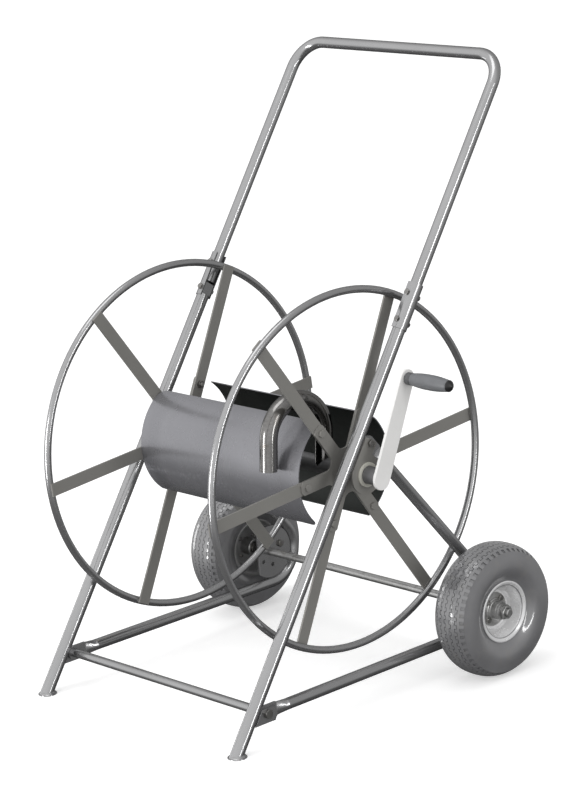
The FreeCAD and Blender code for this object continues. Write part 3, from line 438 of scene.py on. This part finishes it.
def slot_of(node):
    """The record's material slot of a CAD node."""
    for row in frame["record"]["subparts"]:
        if row["node"] == node:
            return row["material_slot"]
    raise KeyError(node)


# Fasteners: each bolt or nut of a CAD node becomes one with a chamfered head and a thread.

def axis_frame(points, along):
    """Centre line, lowest and highest distance along it, and the points' radii."""
    across = along.orthogonal().normalized()
    third = along.cross(across)
    spans = [[point.dot(way) for point in points] for way in (along, across, third)]
    base = sum((way * ((min(span) + max(span)) / 2)
                for way, span in zip((across, third), spans[1:])), Vector())
    radii = [((point - base) - along * point.dot(along)).length for point in points]
    return base, spans[0], radii


def hexagon_head(mesh, base, along, corner, low, high, bore, chamfer_low, turn):
    """A hexagon with chamfered corners, from low to high along the axis."""
    segments = 48
    flat = corner * math.cos(math.pi / 6)
    crown = flat * 0.97
    across = along.orthogonal().normalized()
    across = Matrix.Rotation(turn, 3, along) @ across
    third = along.cross(across)

    def ring(radius_of, height_of):
        made = []
        for index in range(segments):
            angle = TURN * index / segments
            radius = radius_of(angle)
            made.append(mesh.verts.new(base + along * height_of(radius)
                                       + across * (radius * math.cos(angle))
                                       + third * (radius * math.sin(angle))))
        return made

    def outline(angle):
        return flat / math.cos((angle + math.pi / 6) % (math.pi / 3) - math.pi / 6)

    slope = math.tan(math.radians(30))

    def top(radius):
        return high - max(0.0, radius - crown) * slope

    def bottom(radius):
        return low + (max(0.0, radius - crown) * slope if chamfer_low else 0.0)

    rings = [ring(outline, bottom), ring(outline, top), ring(lambda angle: crown, lambda r: high)]
    if bore:
        rings.append(ring(lambda angle: bore * 1.12, lambda r: high))
        rings.append(ring(lambda angle: bore, lambda r: high - bore * 0.12))
        rings.append(ring(lambda angle: bore, lambda r: low + bore * 0.12))
        rings.append(ring(lambda angle: bore * 1.12, lambda r: low))
    else:
        rings.append(ring(lambda angle: crown * 0.3, lambda r: high))
    rings.append(ring(lambda angle: crown, lambda r: low))
    pairs = list(zip(rings, rings[1:]))
    if bore:
        pairs.append((rings[-1], rings[0]))
    else:
        pairs = pairs[:3]
        mesh.faces.new(rings[3])
        pairs.append((rings[4], rings[0]))
        mesh.faces.new(rings[4])
    for first, second in pairs:
        bridge(mesh, first, second)


def threaded_shank(mesh, base, along, radius, start, end, thread_start, pitch):
    """A rod from start to end whose last part carries a helical thread."""
    segments = 24
    steps = 4  # rings of vertices in one pitch of the thread
    across = along.orthogonal().normalized()
    third = along.cross(across)
    way = 1.0 if end > start else -1.0
    length = abs(end - start)
    deepest = 0.6 * pitch
    stations = [0.0, thread_start]
    count = int((length - thread_start) / pitch * steps)
    stations += [thread_start + pitch * index / steps for index in range(1, count)]
    stations += [length - 0.5 * MM, length]
    rings = []
    for station in stations:
        radii = []
        for index in range(segments):
            phase = (station / pitch - index / segments) % 1.0
            depth = deepest * abs(2 * phase - 1) if station > thread_start else 0.0
            if station >= length - 0.6 * MM:
                depth = deepest
            radii.append(radius - depth)
        rings.append(circle(mesh, base + along * (start + way * station), across, third, radii))
    for first, second in zip(rings, rings[1:]):
        bridge(mesh, first, second)
    mesh.faces.new(rings[0])
    mesh.faces.new(rings[-1])


def bolt_axis(points, choices, longest):
    """The direction along which the fastener is longest (a bolt) or shortest (a nut)."""
    def span(way):
        reach = [point.dot(way) for point in points]
        return max(reach) - min(reach)
    return max(choices, key=span) if longest else min(choices, key=span)


def detailed_bolts(node, choices, pitch=1.25 * MM, finish="fastener_zinc"):
    """Chamfered heads and threads in place of a CAD node of plain bolts."""
    mesh = bmesh.new()
    for index, points in enumerate(solids(node)):
        along = bolt_axis(points, choices, True)
        base, reach, radii = axis_frame(points, along)
        corner = max(radii)
        shank = [(d, r) for d, r in zip(reach, radii) if r < corner * 0.8]
        radius = max(r for d, r in shank)
        wide = [d for d, r in zip(reach, radii) if r > corner * 0.9]
        low, high = min(reach), max(reach)
        head_low, head_high = min(wide), max(wide)
        if high - head_high > head_low - low:
            along = -along
            low, high = -high, -low
            head_low, head_high = -head_high, -head_low
        hexagon_head(mesh, base, along, corner, head_low, high, 0.0, False, 0.4 * index)
        length = head_low - low
        threaded_shank(mesh, base, along, radius, head_low, low, length * 0.45, pitch)
    bmesh.ops.recalc_face_normals(mesh, faces=mesh.faces)
    made = piece(f"{node}_detailed", mesh, finish, body_name(node), slot_of(node), node)
    smooth(made, 28.0)


def detailed_nuts(node, choices, finish="fastener_zinc"):
    """Chamfered nuts in place of a CAD node of plain nuts."""
    mesh = bmesh.new()
    for index, points in enumerate(solids(node)):
        along = bolt_axis(points, choices, False)
        base, reach, radii = axis_frame(points, along)
        hexagon_head(mesh, base, along, max(radii), min(reach), max(reach), min(radii), True,
                     0.55 * index)
    bmesh.ops.recalc_face_normals(mesh, faces=mesh.faces)
    made = piece(f"{node}_detailed", mesh, finish, body_name(node), slot_of(node), node)
    smooth(made, 28.0)


# Weld beads.

def weld(name, path, radius, finish, closed=False):
    """A rippled bead on the reel, along a line of points."""
    ripple = radius * 1.1
    step = ripple / 4
    points = list(path) + ([path[0]] if closed else [])
    lengths = [0.0]
    for first, second in zip(points, points[1:]):
        lengths.append(lengths[-1] + (second - first).length)
    total = lengths[-1]
    count = max(8, int(total / step))
    mesh = bmesh.new()
    sides = 10
    rings = []
    stops = count if closed else count + 1
    at = 0
    for index in range(stops):
        distance = total * index / count
        while at < len(lengths) - 2 and lengths[at + 1] < distance:
            at += 1
        share = (distance - lengths[at]) / max(lengths[at + 1] - lengths[at], 1e-9)
        centre = points[at].lerp(points[at + 1], share)
        along = (points[at + 1] - points[at]).normalized()
        across = along.orthogonal().normalized()
        third = along.cross(across)
        swell = radius * (0.9 + 0.1 * abs(math.sin(math.pi * distance / ripple)))
        if not closed:
            swell *= min(1.0, 0.35 + min(distance, total - distance) / (2 * radius))
        rings.append(circle(mesh, centre, across, third, [swell] * sides))
    pairs = list(zip(rings, rings[1:]))
    if closed:
        pairs.append((rings[-1], rings[0]))
    for first, second in pairs:
        shift = min(range(sides), key=lambda k: (second[k].co - first[0].co).length)
        for k in range(sides):
            mesh.faces.new((first[k], first[(k + 1) % sides],
                            second[(k + 1 + shift) % sides], second[(k + shift) % sides]))
    if not closed:
        mesh.faces.new(rings[0])
        mesh.faces.new(rings[-1])
    bmesh.ops.recalc_face_normals(mesh, faces=mesh.faces)
    made = piece(name, mesh, finish, "reel", finish)
    smooth(made, 80.0)


def circle_path(centre, radius, start=0.0, span=TURN):
    """Points on a circle round X, or on a part of it. Angles run from +Y towards +Z."""
    count = 48
    last = count if span == TURN else count - 1
    angles = [start + span * index / last for index in range(count)]
    return [centre + Y * (radius * math.cos(angle)) + Z * (radius * math.sin(angle))
            for angle in angles]


# Wheels.

def carcass_radius(across, crown):
    """Radius of the tread at a distance from the tyre's middle plane."""
    shoulder_drop = 11.0 * MM
    shoulder_place = 36 * MM
    return crown - shoulder_drop * (abs(across) / shoulder_place) ** 2.6


def make_tyre(side_name, side):
    """A tyre with ribs between zigzag grooves, notched shoulders and a smooth sidewall.

    The surface is a grid: rows run across the tyre and columns run round it. zigzag holds the
    middles of the grooves, swing the edges of their slanting steps, and narrow the share of a
    pitch that such a step takes. Points are (distance from the middle plane, radius) in mm.
    """
    node = f"tyre_{side_name}"
    centre = JOINTS[f"wheel_{side_name}_spin"]
    crown = extent(node).z / 2
    half = extent(node).x / 2
    pitches = 54
    narrow = 0.075
    phases = [0.0, narrow, 0.5, 0.5 + narrow]
    columns = pitches * len(phases)
    depths = {"top": 0.0, "groove": 2.0 * MM, "notch": 3.2 * MM}
    zigzag = [-24.0, -12.0, 0.0, 12.0, 24.0]
    swing = (-2.4, -1.4, 1.4, 2.4)
    shoulder = (30.6, 37.6)
    wide = half / MM
    side_points = [(38.9, 110.6), (40.4, 104.0), (wide - 0.5, 97.5), (wide - 0.05, 91.5),
                   (wide - 0.05, 87.0), (wide - 0.8, 81.5), (39.0, 76.0), (36.0, 71.0),
                   (33.0, 66.8), (31.2, 63.6), (30.4, 61.2), (30.3, 52.0),
                   (29.6, 50.95), (20.5, 50.95), (19.6, 52.0), (22.0, 58.0), (34.0, 84.0),
                   (32.6, 108.0), (24.0, 117.0), (9.0, 120.6)]
    tread = sorted([way * a for way in (-1, 1) for a in shoulder]
                   + [place + shift for place in zigzag for shift in swing])
    loop = [(a * MM, carcass_radius(a * MM, crown)) for a in tread]
    loop += millimetres(side_points)
    loop += [(-a, r) for a, r in reversed(millimetres(side_points))]
    rows = len(loop)
    last_row = len(tread) - 2

    def level(row, column):
        """Whether a cell is a rib's top, the floor of a groove or a notch in the shoulder."""
        quarter = column % len(phases)
        if row in (0, last_row):
            return "notch" if quarter in ((0, 1) if row else (2, 3)) else "top"
        if row > last_row:
            return "top"
        strip = (row - 1) % len(swing)
        if strip == 0:
            return "top"
        if quarter in (0, 2):
            return "groove"
        return "groove" if strip == (1 if quarter == 1 else 3) else "top"

    mesh = bmesh.new()
    made_points = {}

    def corner(row, column, kind):
        """The point of the grid at a row and column, on the tread or sunk below it."""
        row %= rows
        column %= columns
        key = (row, column, kind)
        if key not in made_points:
            before = Vector(loop[row - 1])
            after = Vector(loop[(row + 1) % rows])
            tangent = (after - before).normalized()
            inward = Vector((tangent.y, -tangent.x)) * depths[kind]
            if loop[row][1] > 105 * MM and inward.y > 0:
                inward = -inward
            across, radius = Vector(loop[row]) + inward
            angle = TURN * (column // len(phases) + phases[column % len(phases)]) / pitches
            made_points[key] = mesh.verts.new(
                centre + Vector((side * across, radius * math.cos(angle),
                                 radius * math.sin(angle))))
        return made_points[key]

    for row in range(rows):
        for column in range(columns):
            kind = level(row, column)
            mesh.faces.new((corner(row, column, kind), corner(row, column + 1, kind),
                            corner(row + 1, column + 1, kind), corner(row + 1, column, kind)))
            for next_row, next_column, ends in (
                    ((row + 1) % rows, column, ((row + 1, column), (row + 1, column + 1))),
                    (row, (column + 1) % columns, ((row, column + 1), (row + 1, column + 1)))):
                other = level(next_row, next_column)
                if other != kind:
                    first, second = ends
                    mesh.faces.new((corner(*first, kind), corner(*second, kind),
                                    corner(*second, other), corner(*first, other)))
    bmesh.ops.recalc_face_normals(mesh, faces=mesh.faces)
    made = piece(f"{node}_treaded", mesh, "tyre_rubber", f"wheel_{side_name}", slot_of(node),
                 node)
    smooth(made, 40.0)


def make_rim(side_name, side):
    """Two pressed halves with a rolled flange and a stepped dish."""
    centre = JOINTS[f"wheel_{side_name}_spin"]
    body = f"wheel_{side_name}"
    for half, way in (("outer", side), ("inner", -side)):
        node = f"rim_{half}_{side_name}"
        flange = extent(node).z / 2 / MM
        face = extent(node).x / MM
        hub = HUB_TUBE + 0.05
        seat = flange - 9.2
        outline = [(hub, 0.0, 0.3), (seat - 5.0, 0.0, 1.0), (seat - 5.0, 12.0, 3.0),
                   (seat, 16.0, 3.0), (seat, face - 4.4, 3.4), (flange - 1.6, face - 2.8, 0.9),
                   (flange, face - 2.6, 0.8), (flange, face - 0.6, 0.9),
                   (flange - 2.2, face, 1.3), (flange - 4.2, face - 0.6, 1.4),
                   (seat - 0.6, face - 5.0, 3.0), (seat - 2.6, face - 10.0, 4.0),
                   (seat - 8.6, 8.0, 5.0), (seat - 12.6, 2.5, 3.0), (hub, 2.5, 0.3)]
        mesh = lathe(rounded(millimetres(outline), 0.5 * MM), centre, X * way, 128)
        # The inner half gets painted shade, a darker grey standing in for the shade inside the wheel.
        finish = "rim_paint" if half == "outer" else "rim_inner_painted_shade"
        made = piece(f"{node}_pressed", mesh, finish, body, slot_of(node), node)
        smooth(made, 40.0)


def make_hub(side_name, side):
    """The hub tube with its turned ends and the stepped flange that carries the rim."""
    centre = JOINTS[f"wheel_{side_name}_spin"]
    node = f"hub_{side_name}"
    flange = extent(node).z / 2 / MM
    half = extent(node).x / 2 / MM
    bore = 13.0
    disc = 2.5
    outline = [(bore, -half), (HUB_TUBE - 1.2, -half), (HUB_TUBE, -half + 1.6), (HUB_TUBE, disc),
               (flange, disc), (flange, disc + 2.4), (flange - 1.0, disc + 3.0),
               (22.6, disc + 3.0), (21.8, disc + 5.0), (19.6, disc + 5.6), (18.8, disc + 8.0),
               (HUB_TUBE, disc + 9.0), (HUB_TUBE, half - 6.4), (HUB_TUBE - 0.8, half - 5.6),
               (HUB_TUBE - 0.8, half - 4.0), (HUB_TUBE - 2.0, half), (bore, half)]
    mesh = lathe(rounded(millimetres(outline), 0.4 * MM, 2), centre, X * side, 96)
    made = piece(f"{node}_turned", mesh, "hub_steel", f"wheel_{side_name}", slot_of(node), node)
    smooth(made, 40.0)


# Small turned pieces.

def make_grip():
    """A barrel grip with a collar and a neck, and its pointed end cap."""
    low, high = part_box("grip")
    cap_low, cap_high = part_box("grip_cap")
    axis = JOINTS["grip_spin"]
    start = Vector((low.x, axis.y, axis.z))
    length = (high.x - low.x) / MM
    fat = (high.z - low.z) / 2 / MM
    thin = 9.2
    bore = 6.06
    outline = [(bore, 0.0, 0.2), (11.0, 0.0, 1.0), (12.0, 1.2, 1.0), (12.0, 10.4, 1.0),
               (11.0, 12.0, 1.2), (11.0, 13.2, 1.2)]
    neck = 13.6
    barrel = []
    steps = 26
    for step in range(steps + 1):
        t = step / steps
        swell = math.sin(math.pi * (0.12 + 0.80 * t)) ** 0.8
        base = thin + (fat - thin) * swell
        barrel.append(((base + 0.9 * t * (1 - t)) * MM, (neck + t * (length - neck - 1.0)) * MM))
    barrel = [(min(r, fat * MM), x) for r, x in barrel]
    end = [(barrel[-1][0] - 0.8 * MM, length * MM), (bore * MM, length * MM)]
    shape = rounded(millimetres(outline), 0.5 * MM, 3)
    shape += [Vector(point) for point in barrel] + [Vector(point) for point in end]
    made = piece("grip_moulded", lathe(shape, start, X, 72), "grip_plastic", "crank_grip",
                 slot_of("grip"), "grip")
    smooth(made, 50.0)
    made.data.materials.append(FINISHES["collar_plastic"])
    for polygon in made.data.polygons:
        if polygon.center.x < start.x + neck * MM:
            polygon.material_index = 1
    reach = (cap_high.x - cap_low.x) / MM
    radius = (cap_high.z - cap_low.z) / 2 / MM
    dome = [Vector((0.0, 0.0)), Vector(((radius - 0.6) * MM, 0.0)), Vector((radius * MM, 0.7 * MM))]
    steps = 16
    for step in range(1, steps + 1):
        t = step / steps
        dome.append(Vector((radius * MM * (1 - t ** 1.7), (0.7 + (reach - 0.7) * t) * MM)))
    made = piece("grip_cap_moulded", lathe(dome, Vector((cap_low.x, axis.y, axis.z)), X, 64),
                 "cap_plastic", "crank_grip", slot_of("grip_cap"), "grip_cap")
    smooth(made, 50.0)


def make_feet():
    """Feet that flare out towards the floor."""
    for side_name, _ in SIDES:
        node = f"foot_{side_name}"
        low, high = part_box(node)
        centre = middle(node)
        centre.z = low.z
        radius = (high.x - low.x) / 2 / MM
        tall = (high.z - low.z) / MM
        outline = [(0.0, 0.0), (radius - 0.6, 0.0), (radius, 0.6), (radius - 0.2, 1.5)]
        steps = 8
        for step in range(1, steps + 1):
            t = step / steps
            outline.append((radius - 0.2 - 4.6 * t ** 0.55, 1.5 + (tall - 1.5) * t))
        outline.append((0.0, tall))
        mesh = lathe(millimetres(outline), centre, Z, 64)
        made = piece(f"{node}_flared", mesh, "frame_paint", "frame", slot_of(node), node)
        smooth(made, 40.0)


def make_bushes():
    """Moulded bushes with a rounded flange."""
    for side_name, _ in SIDES:
        softened(f"bush_{side_name}", "bush_plastic", 0.7 * MM, segments=3)


def make_drum_shells():
    """Rolled sheets, painted outside, with near-black painted shade on the inner faces, shaded as true cylinders.
    """
    for end in ("front", "rear"):
        node = f"drum_shell_{end}"
        made = piece(f"{node}_rolled", cad_mesh(node), "drum_paint", body_name(node),
                     slot_of(node), node)
        made.data.materials.append(FINISHES["drum_inside_painted_shade"])
        normals = []
        for polygon in made.data.polygons:
            polygon.use_smooth = True
            facing = polygon.normal.dot(radial(polygon.center))
            # Faces turned towards the axis get the near-black painted shade of the drum's inside.
            if facing < -0.5:
                polygon.material_index = 1
            for index in polygon.vertices:
                way = radial(made.data.vertices[index].co)
                if abs(facing) < 0.9:
                    way = polygon.normal
                elif facing < 0:
                    way = -way
                normals.append(tuple(way))
        made.data.normals_split_custom_set(normals)


def radial(point):
    """The direction from the reel's axis to a point."""
    way = point - REEL
    way.x = 0.0
    return way.normalized()


def make_plates():
    """Flat parts with eased edges."""
    for side_name, _ in SIDES:
        softened(f"gusset_{side_name}", "frame_paint", 0.6 * MM)
        softened(f"axle_plate_{side_name}", "frame_paint", 0.6 * MM)
        # The bearing plates take the darker spoke paint: partly their own dull colour, partly painted shade for
        # the shade behind the legs.
        softened(f"bearing_plate_{side_name}", "spoke_paint", 0.6 * MM)
        softened(f"handle_clip_{side_name}", "frame_paint", 0.5 * MM)
        softened(f"star_hub_{side_name}", "spoke_paint", 0.5 * MM)
        softened(f"spokes_{side_name}", "spoke_paint", 0.45 * MM)
        softened(f"axle_collar_{side_name}", "fastener_zinc", 0.7 * MM)
    softened("crank_arm", "crank_paint", 1.0 * MM, segments=3)


def make_fasteners():
    """Every bolt and nut, whose axis runs along X or square to the legs."""
    ways = [X, LEG_NORMAL]
    for node in ("handle_bolts", "strut_bolts", "axle_plate_bolts"):
        detailed_bolts(node, ways)
    detailed_bolts("hub_bolts", ways, finish="spoke_paint")
    detailed_bolts("crossbar_bolts", ways, 1.5 * MM)
    for node in ("frame_nuts", "hub_nuts"):
        detailed_nuts(node, ways)
    for side_name, _ in SIDES:
        detailed_bolts(f"rim_bolts_{side_name}", ways, 1.0 * MM)
    detailed_nuts("wheel_nuts", [X], "hub_steel")


def finish_cad_nodes():
    """Every CAD node gets the finish of its slot, or the one named here."""
    own = {"wheel_axle": "hub_steel", "wheel_washers": "hub_steel", "reel_axle": "axle_paint"}
    for name, node in NODES.items():
        finish = own.get(name, slot_of(name))
        node.data.materials.clear()
        node.data.materials.append(FINISHES[finish])


def make_welds():
    """Beads where the spokes, the star hubs and the crank arm are welded on."""
    pipe = extent("reel_axle").z / 2
    for side_name, side in SIDES:
        tube = extent(f"ring_{side_name}").x / 2
        ring_radius = extent(f"ring_{side_name}").z / 2 - tube
        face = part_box(f"spokes_{side_name}")[1 if side > 0 else 0].x
        for index in range(6):
            angle = SPOKE_TURN + index * TURN / 6
            way = Vector((0, math.cos(angle), math.sin(angle)))
            over = Vector((0, -way.z, way.y))
            centre = Vector((face, REEL.y, REEL.z))
            inner = centre + way * (ring_radius - tube * 0.62) + X * (side * 0.6 * MM)
            weld(f"ring_weld_{side_name}_{index}",
                 [inner - over * 11.5 * MM, inner + over * 11.5 * MM], 1.6 * MM, "spoke_paint")
        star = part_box(f"star_hub_{side_name}")[1 if side > 0 else 0].x
        weld(f"hub_weld_{side_name}",
             circle_path(Vector((star, REEL.y, REEL.z)), pipe + 1.0 * MM), 2.0 * MM,
             "spoke_paint", True)
    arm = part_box("crank_arm")[0].x
    weld("crank_weld",
         circle_path(Vector((arm - 1.0 * MM, REEL.y, REEL.z)), pipe + 0.6 * MM,
                     math.radians(60), math.radians(300)), 1.1 * MM, "crank_paint")


# Camera, light and floor.

def make_camera():
    """A long lens above the handle's height, looking down at the crank side from the front."""
    azimuth = math.radians(48.10)
    elevation = math.radians(14.52)
    roll = math.radians(-4.22)
    forward = Vector((-math.sin(azimuth) * math.cos(elevation),
                      math.cos(azimuth) * math.cos(elevation), -math.sin(elevation)))
    level = Vector((math.cos(azimuth), math.sin(azimuth), 0))
    upright = level.cross(forward)
    right = level * math.cos(roll) + upright * math.sin(roll)
    up = upright * math.cos(roll) - level * math.sin(roll)
    turn = Matrix((right, up, -forward)).transposed()
    data = bpy.data.cameras.new("camera")
    data.sensor_width = 36.0
    data.lens = 132.4
    camera = bpy.data.objects.new("camera", data)
    bpy.context.scene.collection.objects.link(camera)
    camera.matrix_world = Matrix.Translation((4.0739, -3.6219, 1.9538)) @ turn.to_4x4()
    bpy.context.scene.camera = camera


def area_light(name, bearing, height, distance, wide, tall, radiance):
    """A softbox that faces the cart, at a bearing from +X towards +Y, in degrees."""
    target = Vector((0, 0, 0.5))
    angle = math.radians(bearing)
    place = target + Vector((math.cos(angle) * distance, math.sin(angle) * distance, height))
    data = bpy.data.lights.new(name, "AREA")
    data.shape = "RECTANGLE"
    data.size = wide
    data.size_y = tall
    data.energy = radiance * math.pi * wide * tall
    lamp = bpy.data.objects.new(name, data)
    bpy.context.scene.collection.objects.link(lamp)
    lamp.location = place
    lamp.rotation_euler = (target - place).to_track_quat("-Z", "Y").to_euler()


def make_light():
    """Studio light: strips right, in front and left of the cart and a box overhead, under a sky
    that is bright above, dimmer behind and dark far below."""
    area_light("strip_right", 2.0, 0.6, 4.0, 0.34, 2.8, 9.5)
    area_light("strip_front", 256.0, -0.1, 4.0, 0.55, 2.2, 15.0)
    area_light("strip_left", 190.0, -0.15, 4.0, 0.5, 1.6, 2.6)
    area_light("overhead", 250.0, 4.2, 0.8, 2.4, 2.4, 1.6)
    world = bpy.data.worlds.new("studio")
    world.use_nodes = True
    tree = world.node_tree
    background = tree.nodes["Background"]
    background.inputs["Color"].default_value = (1.0, 1.0, 1.0, 1.0)
    direction = tree.nodes.new("ShaderNodeTexCoord").outputs["Generated"]
    split = tree.nodes.new("ShaderNodeSeparateXYZ")
    tree.links.new(direction, split.inputs["Vector"])

    def ramp(axis, low, high, to_low, to_high):
        made = tree.nodes.new("ShaderNodeMapRange")
        made.interpolation_type = "SMOOTHSTEP"
        for socket, value in zip(("From Min", "From Max", "To Min", "To Max"),
                                 (low, high, to_low, to_high)):
            made.inputs[socket].default_value = value
        tree.links.new(split.outputs[axis], made.inputs["Value"])
        return made.outputs["Result"]

    product = tree.nodes.new("ShaderNodeMath")
    product.operation = "MULTIPLY"
    tree.links.new(ramp("Z", -0.55, 0.0, 0.13, 1.0), product.inputs[0])
    tree.links.new(ramp("Y", -0.6, 0.7, 1.0, 0.42), product.inputs[1])
    tree.links.new(product.outputs["Value"], background.inputs["Strength"])
    bpy.context.scene.world = world
    bpy.context.scene.view_settings.view_transform = "Standard"


def make_floor():
    """A plain pale floor that curves up into a backdrop far from the cart."""
    flat = 14.0
    sweep = 10.0
    outline = [Vector((0.0, 0.0)), Vector((flat, 0.0))]
    steps = 12
    for step in range(1, steps + 1):
        angle = math.pi / 2 * step / steps
        outline.append(Vector((flat + sweep * math.sin(angle), sweep * (1 - math.cos(angle)))))
    outline.append(Vector((flat + sweep, 30.0)))
    outline += [Vector((flat + sweep + 0.5, 30.0)), Vector((flat + sweep + 0.5, -0.5)),
                Vector((0.0, -0.5))]
    mesh = lathe(outline, Vector(), Z, 128)
    data = bpy.data.meshes.new("floor")
    mesh.to_mesh(data)
    mesh.free()
    floor = bpy.data.objects.new("floor", data)
    bpy.context.scene.collection.objects.link(floor)
    smooth(floor, 40.0)
    f = Finish("floor_pale", specular=0.1)
    cloud = f.remap(f.noise(1.5, 3.0), 0.3, 0.7, 0.0, 1.0)
    f.colour(f.mix(cloud, (0.93, 0.93, 0.93), (0.95, 0.95, 0.95)))
    f.roughness(f.remap(f.noise(6.0), 0.3, 0.7, 0.8, 0.9))
    f.shader.inputs["Emission Color"].default_value = (1.0, 1.0, 1.0, 1.0)
    f.shader.inputs["Emission Strength"].default_value = 0.42
    data.materials.append(f.material)
    floor.visible_glossy = False
    floor.visible_diffuse = False
    floor.visible_shadow = False


make_camera()
make_light()
make_floor()
make_finishes()
finish_cad_nodes()
for wheel_name, wheel_side in SIDES:
    make_tyre(wheel_name, wheel_side)
    make_rim(wheel_name, wheel_side)
    make_hub(wheel_name, wheel_side)
make_grip()
make_feet()
make_bushes()
make_drum_shells()
make_plates()
make_fasteners()
make_welds()
